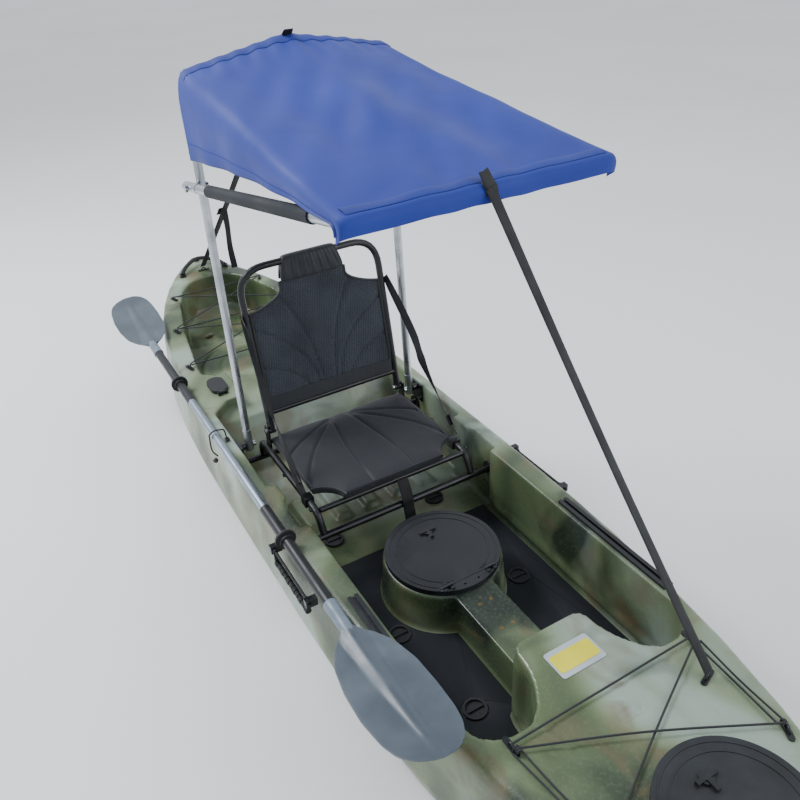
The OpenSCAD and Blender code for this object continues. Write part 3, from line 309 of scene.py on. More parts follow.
@dataclass(frozen=True)
class Fabric(Finish):
    """Woven or knitted cloth whose threads follow the piece's own UV map, which is in metres."""

    weave: Weave = Weave.PLAIN
    thread_mm: float = 3.0
    gap: str = "#0d0e10"
    contrast: float = 0.5
    sheen: float = 0.2

    def polish(self, shader: bpy.types.Node) -> None:
        """Give the cloth the soft sheen of its fibre ends."""
        shader.inputs["Sheen Weight"].default_value = self.sheen
        shader.inputs["Sheen Roughness"].default_value = 0.45

    def threads(self, tree: bpy.types.NodeTree, where: Socket) -> Socket:
        """Return the threads' height, from 0 in the gaps to 1."""
        if self.weave is Weave.MESH:
            cells = add_node(tree, "ShaderNodeMapping", {
                "Vector": where, "Scale": (1.0, 1.7, 1.0), "Rotation": (0, 0, 0.12)})
            made = add_node(tree, "ShaderNodeTexVoronoi", {
                "Vector": cells.outputs[0], "Scale": 1000 / self.thread_mm, "Randomness": 0.25},
                voronoi_dimensions="2D")
            wide = add_node(tree, "ShaderNodeMapRange", {"Value": made.outputs[0], 1: 0.15, 2: 0.5})
            return wide.outputs[0]
        parts = add_node(tree, "ShaderNodeSeparateXYZ", {0: where})
        step = 2 * math.pi * 1000 / self.thread_mm
        waves = []
        for axis in (0, 1):
            scaled = add_node(tree, "ShaderNodeMath", {0: parts.outputs[axis], 1: step}, operation="MULTIPLY")
            wave = add_node(tree, "ShaderNodeMath", {0: scaled.outputs[0]}, operation="SINE")
            waves.append(wave.outputs[0])
        if self.weave is Weave.RIBBED:
            fine = add_node(tree, "ShaderNodeMath", {0: waves[1], 1: 0.25, 2: waves[0]}, operation="MULTIPLY_ADD")
            made = add_node(tree, "ShaderNodeMapRange", {"Value": fine.outputs[0], 1: -1.25, 2: 1.25})
            return made.outputs[0]
        cross = add_node(tree, "ShaderNodeMath", {0: waves[0], 1: waves[1]}, operation="MULTIPLY")
        return add_node(tree, "ShaderNodeMapRange", {"Value": cross.outputs[0], 1: -1.0, 2: 1.0}).outputs[0]

    def pattern(self, tree: bpy.types.NodeTree, place: bpy.types.Node) -> tuple[Socket, Socket, Socket]:
        """Draw the threads, darker in their gaps, over soft patches of shade."""
        uv = place.outputs["UV"]
        threads = self.threads(tree, uv)
        patches = self.noise(tree, place.outputs["Object"], self.patch_mm)
        cloth = add_node(tree, "ShaderNodeValToRGB", {"Fac": patches},
                         [(0.3, self.colour), (0.72, self.shade)])
        share = add_node(tree, "ShaderNodeMapRange", {"Value": threads, 1: 0.0, 2: 0.75, 3: self.contrast, 4: 0.0})
        colour = add_node(tree, "ShaderNodeMix", {
            0: share.outputs[0], 6: cloth.outputs[0], 7: linear(self.gap)}, data_type="RGBA")
        return colour.outputs[2], self.gloss(tree, place.outputs["Object"]), threads


@dataclass(frozen=True)
class RibbedGrip(Finish):
    """Soft moulded grip with ribs round it, along Y."""

    rib_mm: float = 9.0

    def pattern(self, tree: bpy.types.NodeTree, place: bpy.types.Node) -> tuple[Socket, Socket, Socket]:
        """Draw ribs round the grip under a fine grain."""
        colour, rough, _grain = super().pattern(tree, place)
        parts = add_node(tree, "ShaderNodeSeparateXYZ", {0: place.outputs["Object"]})
        turned = add_node(tree, "ShaderNodeMath", {
            0: parts.outputs[1], 1: 2 * math.pi * 1000 / self.rib_mm}, operation="MULTIPLY")
        rib = add_node(tree, "ShaderNodeMath", {0: turned.outputs[0]}, operation="SINE")
        return colour, rough, rib.outputs[0]


# Hull: polyethylene has a waxy satin skin with an orange-peel grain of a few millimetres
HULL = MarbledPolyethylene("rotomoulded_polyethylene", "#3f4d36", "#5f6c4c", roughness=0.33,
                           ior=1.51, grain_mm=5.0, depth_mm=0.5, patch_mm=180.0)
# Hatches, eyes and rod holders: glass-filled nylon with a pebbled mould grain, grey where it is rubbed
NYLON = Finish("pebbled_glass_filled_nylon", "#15171a", "#202327", 0.40, ior=1.53, grain_mm=2.2, depth_mm=0.35)
# Smaller fittings are the same nylon from a polished mould
SMOOTH_NYLON = Finish("polished_mould_nylon", "#141517", "#1f2124", 0.28, ior=1.53, grain_mm=3.0, depth_mm=0.05)
# Plugs and drip rings: matt rubber that gathers dust
RUBBER = Finish("moulded_rubber", "#17181a", "#26282b", 0.62, ior=1.52, grain_mm=1.5, depth_mm=0.15)
# Handles: thermoplastic rubber over a nylon core
GRIP = RibbedGrip("ribbed_soft_grip", "#141516", "#202225", 0.55, ior=1.52, depth_mm=1.2)
# Deck mats and arm sleeves: closed-cell foam with a sanded face
FOAM = Finish("sanded_closed_cell_foam", "#15181d", "#1d2127", 0.72, ior=1.45, grain_mm=2.4, depth_mm=0.35,
              patch_mm=140.0)
# Threaded inserts: turned brass that has dulled
BRASS = Finish("dulled_brass", "#b08a4a", "#8a6a34", 0.34, 1.0, grain_mm=1.0, depth_mm=0.06, patch_mm=8.0)
# Seat frame: aluminium tube under a black powder coat with a faint orange peel
POWDER_COAT = Finish("black_powder_coat", "#0f1012", "#1a1b1e", 0.33, ior=1.5, grain_mm=1.8, depth_mm=0.10)
# Bolts and pins: stainless steel as turned
STAINLESS = Finish("turned_stainless_steel", "#c9cbce", "#a7aaae", 0.24, 1.0, grain_mm=0.8, depth_mm=0.05,
                   patch_mm=10.0, spread=0.08)
# Canopy legs: satin anodised aluminium with drawing lines up the tube
ANODISED_LEG = BrushedTube("anodised_aluminium_leg", "#c2c5c9", "#a9adb2", 0.34, 1.0, grain_mm=1.4, depth_mm=0.06)
# Paddle shaft: the same aluminium, with its lines along the shaft
ANODISED_SHAFT = BrushedTube("anodised_aluminium_shaft", "#aab4bf", "#8f9aa6", 0.36, 1.0, grain_mm=1.4,
                             depth_mm=0.06, along=(1.0, 0.02, 1.0))
# Shaft sleeves: heat-shrunk polyolefin, smooth and black
SHRINK_SLEEVE = Finish("heat_shrunk_sleeve", "#111214", "#1b1d20", 0.42, ior=1.5, grain_mm=4.0, depth_mm=0.12)
# Blades: grey glass-filled polypropylene, satin with fine flow marks
BLADE = Finish("glass_filled_polypropylene", "#4b545c", "#59636b", 0.40, ior=1.49, grain_mm=3.5, depth_mm=0.12,
               patch_mm=120.0)
SOCKET = Finish("pale_polypropylene_socket", "#76838f", "#64717d", 0.40, ior=1.49, grain_mm=3.0, depth_mm=0.1)
# Blank plate: matt polyester film with a bright yellow panel
PLATE_YELLOW = Finish("yellow_polyester_film", "#e6dc2e", "#d8cc22", 0.38, ior=1.57, grain_mm=4.0, depth_mm=0.04)
PLATE_GREY = Finish("grey_polyester_film", "#b9c0c4", "#a8b0b5", 0.40, ior=1.57, grain_mm=4.0, depth_mm=0.04)
# Cords: polyester braid over rubber, its picks drawn at 4 mm to show
BRAID = Fabric("braided_polyester", "#17181a", "#222427", 0.66, ior=1.54, thread_mm=4.0, depth_mm=0.5,
               contrast=0.4, sheen=0.15)
# Straps: polypropylene webbing with ribs across it, drawn at 3 mm
WEBBING = Fabric("polypropylene_webbing", "#0a0b0c", "#121315", 0.66, ior=1.49, weave=Weave.RIBBED,
                 thread_mm=3.2, depth_mm=0.4, contrast=0.45, sheen=0.05)
# Seat pad: ribbed polyester knit, drawn at 5 mm
PAD_KNIT = Fabric("ribbed_polyester_knit", "#15181d", "#1e2228", 0.74, ior=1.54, weave=Weave.RIBBED,
                  thread_mm=5.5, depth_mm=0.6, contrast=0.42, gap="#0b0d10", sheen=0.12, patch_mm=90.0)
# Backrest: three-dimensional spacer mesh, whose dark cells are 7 mm wide
SPACER_MESH = Fabric("spacer_mesh", "#343a43", "#2a2f37", 0.70, ior=1.54, weave=Weave.MESH,
                     thread_mm=8.5, depth_mm=1.2, contrast=0.8, gap="#0d0f12", sheen=0.12, patch_mm=120.0)
# Headrest, bindings and the band below the mesh: coated nylon cloth, nearly black
COATED_NYLON = Fabric("coated_nylon_cloth", "#14171c", "#1c2026", 0.58, ior=1.53, thread_mm=2.4,
                      depth_mm=0.12, contrast=0.25, sheen=0.12)
# Canopy: dyed polyester canvas, its plain weave drawn at 3 mm
CANVAS = Fabric("royal_blue_polyester_canvas", "#0a2f98", "#08298a", 0.68, ior=1.54, thread_mm=3.0,
                depth_mm=0.12, contrast=0.18, gap="#061a55", sheen=0.06, patch_mm=240.0)
CANVAS_HEM = Fabric("royal_blue_hem", "#082781", "#0a2e93", 0.70, ior=1.54, thread_mm=3.0,
                    depth_mm=0.15, contrast=0.25, gap="#061a55", sheen=0.06, patch_mm=120.0)


# ---------- hull lines ----------
def share_along(y: float) -> float:
    """Return how far y is from the boat's middle, from -1 at the bow to 1 at the stern."""
    return (y - (STERN_Y + BOW_Y) / 2) / ((STERN_Y - BOW_Y) / 2)


def half_beam(y: float) -> float:
    """Return half the hull's beam at y."""
    t = share_along(y)
    return HALF_BEAM * ((1 - (-t) ** 3.2) if t < 0 else (1 - t ** 4) ** 0.75)


def deck_height(x: float, y: float) -> float:
    """Return the height of the outer deck at a place."""
    t = share_along(y)
    rise = BOW_RISE if t < 0 else STERN_RISE
    crown = DECK_CROWN * (1 - (x / max(half_beam(y), 0.001)) ** 2)
    return SIDE_HEIGHT + rise * abs(t) ** 5 + crown


def over_deck(x: float, y: float, above: float) -> Point:
    """Return a point that far above the deck."""
    return x, y, deck_height(x, y) + above


# ---------- making meshes ----------
def deselect() -> None:
    """Deselect every object and leave none active."""
    if bpy.context.object and bpy.context.object.mode != "OBJECT":
        bpy.ops.object.mode_set(mode="OBJECT")
    bpy.ops.object.select_all(action="DESELECT")
    bpy.context.view_layer.objects.active = None


def pick(thing: bpy.types.Object) -> None:
    """Make one object the only one selected, and active."""
    deselect()
    thing.select_set(True)
    bpy.context.view_layer.objects.active = thing


@contextmanager
def editing(thing: bpy.types.Object, chosen: Callable[[bpy.types.MeshPolygon], bool] | None = None) -> Iterator[None]:
    """Open a mesh in edit mode.

    Args:
        thing: The mesh object.
        chosen: Which faces start selected; all of them without it.
    """
    pick(thing)
    bpy.ops.object.mode_set(mode="EDIT")
    bpy.ops.mesh.select_mode(type="FACE")
    bpy.ops.mesh.select_all(action="SELECT" if chosen is None else "DESELECT")
    if chosen is not None:
        bpy.ops.object.mode_set(mode="OBJECT")
        for face in thing.data.polygons:
            face.select = bool(chosen(face))
        bpy.ops.object.mode_set(mode="EDIT")
    yield
    bpy.ops.object.mode_set(mode="OBJECT")


def modify(thing: bpy.types.Object, kind: str, **settings: object) -> None:
    """Add a modifier with its settings and apply it."""
    pick(thing)
    made = thing.modifiers.new(kind.title(), kind)
    for name, value in settings.items():
        setattr(made, name, value)
    bpy.ops.object.modifier_apply(modifier=made.name)


def settle(thing: bpy.types.Object, name: str) -> bpy.types.Object:
    """Name a new object and put its place into its mesh."""
    pick(thing)
    bpy.ops.object.transform_apply(location=True, rotation=True, scale=True)
    thing.name = thing.data.name = name
    return thing


def own_copy(node: str, name: str) -> bpy.types.Object:
    """Copy a CAD node's mesh into a new object with its doubles merged.

    Args:
        node: The CAD node.
        name: The new object's name.

    Returns:
        The new object.
    """
    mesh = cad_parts[node].data.copy()
    mesh.materials.clear()
    made = bpy.data.objects.new(name, mesh)
    bpy.context.scene.collection.objects.link(made)
    with editing(made):
        bpy.ops.mesh.remove_doubles(threshold=1e-5)
    return made


def smooth(thing: bpy.types.Object, degrees: float = 40) -> None:
    """Shade a mesh smooth, with its sharper edges kept."""
    pick(thing)
    bpy.ops.object.shade_smooth_by_angle(angle=math.radians(degrees))


def skin(
    name: str,
    rings: np.ndarray,
    closed: bool = True,
    capped: bool = True,
    uv: np.ndarray | None = None,
) -> bpy.types.Object:
    """Make a mesh over rows of points.

    Args:
        name: The new object's name.
        rings: Points as rows, columns and XYZ.
        closed: Whether each row is a ring.
        capped: Whether the first and last ring get a face.
        uv: Each point's place on the cloth, in metres, and one more column where the rows close.

    Returns:
        The new object.
    """
    rows, columns = rings.shape[:2]
    spans = columns if closed else columns - 1
    mesh = bpy.data.meshes.new(name)
    faces, places = [], []
    for i in range(rows - 1):
        for j in range(spans):
            k = (j + 1) % columns
            faces.append((i * columns + j, i * columns + k, (i + 1) * columns + k, (i + 1) * columns + j))
            if uv is not None:
                places += [uv[i][j], uv[i][j + 1], uv[i + 1][j + 1], uv[i + 1][j]]
    if capped and closed:
        faces.append(tuple(range(columns - 1, -1, -1)))
        faces.append(tuple((rows - 1) * columns + j for j in range(columns)))
        if uv is not None:
            places += [uv[0][j] for j in range(columns)][::-1] + [uv[-1][j] for j in range(columns)]
    mesh.from_pydata(rings.reshape(-1, 3).tolist(), [], faces)
    if uv is not None:
        layer = mesh.uv_layers.new(name="cloth")
        layer.data.foreach_set("uv", np.array(places, np.float32).ravel())
    mesh.validate()
    made = bpy.data.objects.new(name, mesh)
    bpy.context.scene.collection.objects.link(made)
    if closed and capped:
        with editing(made):
            bpy.ops.mesh.normals_make_consistent(inside=False)
    return made


def smooth_path(points: Sequence[Point], steps: int = 8) -> np.ndarray:
    """Run a curve through points.

    Args:
        points: The points that it passes.
        steps: New points for each span.

    Returns:
        The curve's points.
    """
    ends = [np.array(p, float) for p in points]
    ends = [2 * ends[0] - ends[1], *ends, 2 * ends[-1] - ends[-2]]
    out = []
    for a, b, c, d in zip(ends, ends[1:], ends[2:], ends[3:]):
        for k in range(steps):
            t = k / steps
            out.append(0.5 * (2 * b + (c - a) * t + (2 * a - 5 * b + 4 * c - d) * t * t
                              + (3 * b - a - 3 * c + d) * t ** 3))
    return np.array([*out, ends[-2]])


def bowed_line(start: Sequence[float], pull: Sequence[float], stop: Sequence[float], count: int) -> np.ndarray:
    """Return points of a curve from start to stop that leans towards pull."""
    t = np.linspace(0, 1, count)[:, None]
    return (1 - t) ** 2 * np.array(start) + 2 * t * (1 - t) * np.array(pull) + t * t * np.array(stop)


def straight_path(points: Sequence[Point], steps: int = 10) -> np.ndarray:
    """Divide straight runs between points into short steps."""
    ends = np.array(points, float)
    runs = [a + (b - a) * k / steps for a, b in zip(ends, ends[1:]) for k in range(steps)]
    return np.array([*runs, ends[-1]])


def run_along(path: np.ndarray) -> np.ndarray:
    """Return the distance run at each point of a path."""
    return np.concatenate([[0], np.cumsum(np.linalg.norm(np.diff(path, axis=0), axis=1))])


def headings(path: np.ndarray) -> np.ndarray:
    """Return the unit direction of a path at each of its points."""
    ahead = np.gradient(path, axis=0)
    return ahead / np.linalg.norm(ahead, axis=1, keepdims=True)


def tube(name: str, path: np.ndarray, radius: float | np.ndarray, sides: int = 10) -> bpy.types.Object:
    """Make a round cord or bar along a path, with its UV map in metres round it and along it.

    Args:
        name: The new object's name.
        path: Its centreline.
        radius: Its radius, or one for each point.
        sides: Sides of its section.

    Returns:
        The new object.
    """
    ahead = headings(path)
    across = np.cross(ahead[0], (0.31, 0.22, 0.93))
    rings, places = [], []
    run = run_along(path)
    radii = np.broadcast_to(radius, len(path))
    for p, h, s, r in zip(path, ahead, run, radii):
        across = across - h * (across @ h)
        across = across / np.linalg.norm(across)
        up = np.cross(h, across)
        turns = 2 * math.pi * np.arange(sides) / sides
        rings.append(p + r * (np.outer(np.cos(turns), across) + np.outer(np.sin(turns), up)))
        around = 2 * math.pi * float(r) * np.arange(sides + 1) / sides
        places.append(np.column_stack([around + s, np.full(sides + 1, s) - around]))
    made = skin(name, np.array(rings), uv=np.array(places))
    smooth(made, 60)
    return made


def webbing(
    name: str,
    path: np.ndarray,
    across: Point | Callable[[float], Point],
    width: float,
    thick: float = 0.0018,
) -> bpy.types.Object:
    """Make a flat strap along a path, with rounded edges and its UV map in metres.

    Args:
        name: The new object's name.
        path: Its centreline.
        across: The way its width runs, or a function of the share along it.
        width: Its width.
        thick: Its thickness.

    Returns:
        The new object.
    """
    ahead = headings(path)
    run = run_along(path)
    w, t = width / 2, thick / 2
    section = [(-w, 0), (-w + t, -t), (-w / 3, -t), (w / 3, -t), (w - t, -t), (w, 0),
               (w - t, t), (w / 3, t), (-w / 3, t), (-w + t, t)]
    rings, places = [], []
    for p, h, s in zip(path, ahead, run):
        side = np.array(across(s / run[-1]) if callable(across) else across, float)
        side = side - h * (side @ h)
        side = side / np.linalg.norm(side)
        up = np.cross(h, side)
        rings.append([p + side * a + up * b for a, b in section])
        places.append([(a, s) for a, _ in [*section, section[0]]])
    made = skin(name, np.array(rings), uv=np.array(places))
    smooth(made, 50)
    return made


def dress(thing: bpy.types.Object, finish: Finish) -> None:
    """Give a whole piece one finish."""
    thing.data.materials.clear()
    thing.data.materials.append(finish.make())


def report(piece: bpy.types.Object) -> None:
    """Log a finished piece's size."""
    LOG.info("%s: %d faces", piece.name, len(piece.data.polygons))


def unroll(thing: bpy.types.Object, place: Callable[[np.ndarray], np.ndarray]) -> None:
    """Give a mesh a UV map in metres.

    Args:
        thing: The mesh object.
        place: Turns its points into places on the cloth.
    """
    mesh = thing.data
    layer = mesh.uv_layers.get("cloth") or mesh.uv_layers.new(name="cloth")
    corners = np.empty(len(mesh.loops), np.int32)
    mesh.loops.foreach_get("vertex_index", corners)
    flat = place(points_of(thing))
    layer.data.foreach_set("uv", flat[corners].astype(np.float32).ravel())


def points_of(thing: bpy.types.Object) -> np.ndarray:
    """Return a mesh's points."""
    out = np.empty(len(thing.data.vertices) * 3)
    thing.data.vertices.foreach_get("co", out)
    return out.reshape(-1, 3)


def move_points(thing: bpy.types.Object, points: np.ndarray) -> None:
    """Put a mesh's points somewhere else."""
    thing.data.vertices.foreach_set("co", points.ravel())
    thing.data.update()


def normals_of(thing: bpy.types.Object) -> np.ndarray:
    """Return a mesh's point normals."""
    out = np.empty(len(thing.data.vertices) * 3, np.float32)
    thing.data.vertex_normals.foreach_get("vector", out)
    return out.reshape(-1, 3)


def away_from_line(points: np.ndarray, line: Sequence[tuple[float, float]]) -> np.ndarray:
    """Return each flat point's distance from a broken line.

    Args:
        points: Flat points.
        line: The line's corners.

    Returns:
        The distances.
    """
    best = np.full(len(points), 1e9)
    corners = np.array(line, float)
    for a, b in zip(corners, corners[1:]):
        run = b - a
        t = np.clip(((points - a) @ run) / (run @ run), 0, 1)
        best = np.minimum(best, np.linalg.norm(points - a - t[:, None] * run, axis=1))
    return best


# ---------- studio ----------
@dataclass
class Studio:
    """Pale floor, soft lights and the camera.

    Attributes:
        place: Where the camera stands.
        yaw: Its turn about the vertical.
        pitch: How far it looks down.
        roll: Its turn about its own axis.
        lens: Focal length on a 36 mm sensor.
        shift: Small shift of the lens, across and up.
    """

    place: Point = (-0.8555, -1.392, 1.8106)
    yaw: float = math.radians(-27.98)
    pitch: float = math.radians(32.85)
    roll: float = math.radians(-3.75)
    lens: float = 34.68
    shift: tuple[float, float] = (0.0036, 0.0085)

    def camera(self) -> None:
        """Set up the camera from its angles."""
        ahead = Vector((math.sin(-self.yaw) * math.cos(self.pitch), math.cos(self.yaw) * math.cos(self.pitch),
                        -math.sin(self.pitch)))
        right = ahead.cross(Vector((0, 0, 1))).normalized()
        up = right.cross(ahead)
        c, s = math.cos(self.roll), math.sin(self.roll)
        across, over = c * right + s * up, -s * right + c * up
        lens = bpy.data.cameras.new("studio_camera")
        lens.lens, lens.sensor_width = self.lens, 36.0
        lens.shift_x, lens.shift_y = self.shift
        lens.clip_start, lens.clip_end = 0.02, 100
        stand = bpy.data.objects.new("studio_camera", lens)
        bpy.context.scene.collection.objects.link(stand)
        turned = Matrix((across, over, -ahead)).transposed().to_4x4()
        turned.translation = self.place
        stand.matrix_world = turned
        bpy.context.scene.camera = stand

    def floor(self) -> None:
        """Lay a wide pale floor under the keel."""
        deselect()
        bpy.ops.mesh.primitive_circle_add(vertices=96, radius=30, fill_type="NGON", location=(0, 0, -0.001))
        floor = settle(bpy.context.object, "studio_floor")
        dress(floor, Finish("matt_studio_floor", "#f4f4f3", "#eeeeed", 0.85, grain_mm=40, depth_mm=0.01,
                            patch_mm=3000))

    def lights(self) -> None:
        """Hang large soft lights and set a pale surround."""
        world = bpy.data.worlds.new("studio_surround")
        world.use_nodes = True
        shade = world.node_tree.nodes["Background"]
        shade.inputs["Color"].default_value = linear("#e9eff6")
        shade.inputs["Strength"].default_value = 1.05
        bpy.context.scene.world = world
        for name, where, target, size, power in (
            ("key_light", (-2.6, 3.2, 4.6), (0, 0.4, 0.6), 2.0, 300),
            ("fill_light", (2.8, -3.6, 3.4), (0, 0.2, 0.5), 3.0, 90),
        ):
            lamp = bpy.data.lights.new(name, "AREA")
            lamp.shape, lamp.size, lamp.energy = "SQUARE", size, power
            lamp.color = linear("#f6f9ff")[:3]
            stand = bpy.data.objects.new(name, lamp)
            bpy.context.scene.collection.objects.link(stand)
            stand.location = where
            aim = Vector(target) - Vector(where)
            stand.rotation_mode = "QUATERNION"
            stand.rotation_quaternion = aim.to_track_quat("-Z", "Y")

    def build(self) -> None:
        """Set up the whole studio."""
        self.camera()
        self.floor()
        self.lights()


# ---------- hull ----------
@dataclass
class Hull:
    """The rotomoulded hull, with the soft edges and shallow mouldings of its kind.

    Attributes:
        voxel: Grid of the remeshed skin.
        rounding: Passes of smoothing that round its edges.
        faces_kept: Share of the faces left after flat places are thinned.
        stoppers: Nodes that close the hull's openings.
        bucket_radius: Radius of the bucket under a hatch.
        sharp: Angle at an edge that bounds a patch.
        least_patch: Area below which a patch is kept wherever it is.
    """

    voxel: float = 0.0068
    rounding: int = 5
    faces_kept: float = 0.42
    stoppers: tuple[str, ...] = ("centre_hatch_ring", "centre_hatch_lid", "front_hatch_ring", "front_hatch_lid",
                                 "drain_plug", "scupper_plugs", "rod_holder_port", "rod_holder_starboard")
    bucket_radius: float = 0.112
    sharp: float = math.radians(35)
    least_patch: float = 2e-4

    def patches(self, skin_mesh: bmesh.types.BMesh) -> Iterator[list[bmesh.types.BMFace]]:
        """Yield the faces of each patch that sharp edges bound."""
        seen: set[int] = set()
        for first in skin_mesh.faces:
            if first.index in seen:
                continue
            seen.add(first.index)
            patch, waiting = [], [first]
            while waiting:
                face = waiting.pop()
                patch.append(face)
                for edge in face.edges:
                    for beside in edge.link_faces:
                        if beside.index not in seen and edge.calc_face_angle(3.0) < self.sharp:
                            seen.add(beside.index)
                            waiting.append(beside)
            yield patch

    def outer_skin(self) -> bpy.types.Object:
        """Copy the hull and leave out the surface of the hollow inside it."""
        shell = own_copy("hull", "hull_shell")
        walls, work = bmesh.new(), bmesh.new()
        for node in ("hull", *self.stoppers):
            walls.from_mesh(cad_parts[node].data)
        tree = BVHTree.FromBMesh(walls)
        walls.free()
        turn = math.pi * (3 - math.sqrt(5))
        ways = [Vector((math.sqrt(1 - h * h) * math.cos(i * turn), math.sqrt(1 - h * h) * math.sin(i * turn), h))
                for i, h in enumerate(np.linspace(-0.99, 0.99, 60))]
        work.from_mesh(shell.data)
        hidden = []
        for patch in self.patches(work):
            shut, area = 0.0, sum(face.calc_area() for face in patch)
            for face in patch:
                start = face.calc_center_median() + face.normal * 2e-4
                blocked = all(tree.ray_cast(start, way)[0] for way in ways if way.dot(face.normal) > 0.02)
                shut += face.calc_area() if blocked else -face.calc_area()
            if shut > 0 and area > self.least_patch:
                hidden += patch
        bmesh.ops.delete(work, geom=hidden, context="FACES")
        bmesh.ops.remove_doubles(work, verts=work.verts[:], dist=2e-4)
        bmesh.ops.dissolve_degenerate(work, edges=work.edges[:], dist=1e-4)
        bmesh.ops.holes_fill(work, edges=[e for e in work.edges if e.is_boundary], sides=0)
        everything = work.verts[:] + work.edges[:] + work.faces[:]
        bmesh.ops.bisect_plane(work, geom=everything, plane_co=(0, 0, 0), plane_no=(1, 0, 0), clear_outer=True)
        bmesh.ops.mirror(work, geom=work.verts[:] + work.edges[:] + work.faces[:], matrix=Matrix.Identity(4),
                         merge_dist=2e-4, axis="X")
        bmesh.ops.recalc_face_normals(work, faces=work.faces[:])
        left = sum(1 for e in work.edges if e.is_boundary)
        LOG.info("hull: %d hidden faces left out, %d open edges", len(hidden), left)
        work.to_mesh(shell.data)
        work.free()
        return shell

    def buckets(self, shell: bpy.types.Object) -> None:
        """Sink a bucket under each hatch."""
        for node, reach in (("centre_hatch_ring", 0.080), ("front_hatch_ring", 0.120)):
            low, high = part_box(node)
            across = (low[0] + high[0]) / 2, (low[1] + high[1]) / 2
            deselect()
            bpy.ops.mesh.primitive_cylinder_add(vertices=96, radius=self.bucket_radius, depth=2 * reach,
                                                location=(*across, low[2] + 0.02))
            cutter = bpy.context.object
            modify(shell, "BOOLEAN", operation="DIFFERENCE", object=cutter, solver="FAST")
            pick(cutter)
            bpy.ops.object.delete()

    def mould(self, shell: bpy.types.Object) -> None:
        """Press the shallow mouldings into the skin."""
        points, normals = points_of(shell), normals_of(shell)
        x, y, z = points.T
        up = np.clip((normals[:, 2] - 0.7) / 0.3, 0, 1)
        side_on = np.clip((0.55 - np.abs(normals[:, 2])) / 0.3, 0, 1)
        lift = np.zeros(len(points))
        # Round step in the tankwell floor
        ring = np.hypot(x, (y - 1.43) * 1.0)
        in_tank = (np.abs(z - TANK_Z) < 0.02) * up
        lift += in_tank * 0.012 / (1 + np.exp((ring - 0.17) / 0.006))
        lift += in_tank * 0.008 * np.exp(-((ring - 0.235) / 0.012) ** 2)
        # Ribs of the tankwell floor behind the step
        behind = in_tank * (y > 1.70) * (y < 1.98) * (np.abs(x) < 0.20)
        lift += behind * 0.005 * np.clip(np.cos(x * 2 * math.pi / 0.085), 0, 1)
        # Rib blocks under the seat's front
        blocks = (np.abs(z - FLOOR_Z) < 0.02) * up * (y > 0.43) * (y < 0.60) * (np.abs(x) < 0.27)
        lift += blocks * 0.018 / (1 + np.exp(-(np.cos(x * 2 * math.pi / 0.108) - 0.1) / 0.08))
        # Shallow panel and channels on the fore deck
        fore = up * (y < -0.50) * (z > 0.30) * (y > -0.86)
        lift -= fore * 0.004 * np.exp(-((np.abs(x) - 0.132 - (y + 0.86) * 0.18) / 0.008) ** 2)
        points[:, 2] += lift
        # Flutes down the sides of the tongue and along the cockpit walls
        wall = side_on * (z > FLOOR_Z + 0.03) * (z < SIDE_HEIGHT - 0.03)
        tongue = wall * (y < -0.44) * (y > -0.66) * (np.abs(x) < 0.26)
        flute = 0.0045 * np.cos((y + np.abs(x)) * 2 * math.pi / 0.075)
        points += normals * (tongue * flute)[:, None]
        inner = wall * (np.abs(x) > 0.29) * (np.abs(x) < 0.33) * (y > -0.55) * (y < 0.18)
        ledge = 0.007 / (1 + np.exp((z - FLOOR_Z - 0.055) / 0.004))
        points += normals * (inner * ledge)[:, None]
        move_points(shell, points)

    def build(self) -> bpy.types.Object:
        """Build the hull's visible skin.

        Returns:
            The new piece.
        """
        shell = self.outer_skin()
        modify(shell, "REMESH", mode="VOXEL", voxel_size=self.voxel)
        self.mould(shell)
        modify(shell, "SMOOTH", factor=0.5, iterations=self.rounding)
        modify(shell, "DECIMATE", ratio=self.faces_kept)
        self.buckets(shell)
        settle(shell, "hull_shell")
        smooth(shell, 60)
        dress(shell, HULL)
        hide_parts("hull")
        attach(shell, "boat")
        report(shell)
        return shell


# ---------- CAD nodes that keep their shape ----------
NODE_FINISHES: dict[str, Finish] = {
    "scupper_plugs": RUBBER, "brass_inserts": BRASS, "gear_track_port": NYLON, "gear_track_starboard": NYLON,
    "deck_pad_eyes": SMOOTH_NYLON, "tankwell_pad_eyes": SMOOTH_NYLON, "side_handle_mounts": SMOOTH_NYLON,
    "side_handle_port": GRIP, "side_handle_starboard": GRIP, "bow_handle": SMOOTH_NYLON,
    "stern_handle": SMOOTH_NYLON, "rod_holder_port": NYLON, "rod_holder_starboard": NYLON,
    "rod_cap_port": RUBBER, "rod_cap_starboard": RUBBER, "drain_plug": SMOOTH_NYLON,
    "centre_hatch_ring": NYLON, "centre_hatch_lid": NYLON, "centre_hatch_latch": SMOOTH_NYLON,
    "front_hatch_ring": NYLON, "front_hatch_lid": NYLON, "front_hatch_latch": SMOOTH_NYLON,
    "hatch_hinge_pins": STAINLESS, "seat_base_frame": POWDER_COAT, "seat_cross_bars": POWDER_COAT,
    "seat_flanges": SMOOTH_NYLON, "seat_pivot_pins": STAINLESS, "seat_back_frame": POWDER_COAT,
    "seat_strap_buckles": SMOOTH_NYLON, "canopy_base_brackets": SMOOTH_NYLON, "canopy_base_pins": STAINLESS,
    "canopy_main_bow": ANODISED_LEG, "canopy_bow_connector": ANODISED_LEG, "canopy_arm_pins": STAINLESS,
    "canopy_front_bow": ANODISED_LEG, "canopy_arm_sleeves": FOAM,
    "paddle_drip_ring_near": RUBBER, "paddle_drip_ring_far": RUBBER, "floor_mat_port": FOAM,
    "floor_mat_starboard": FOAM,
}


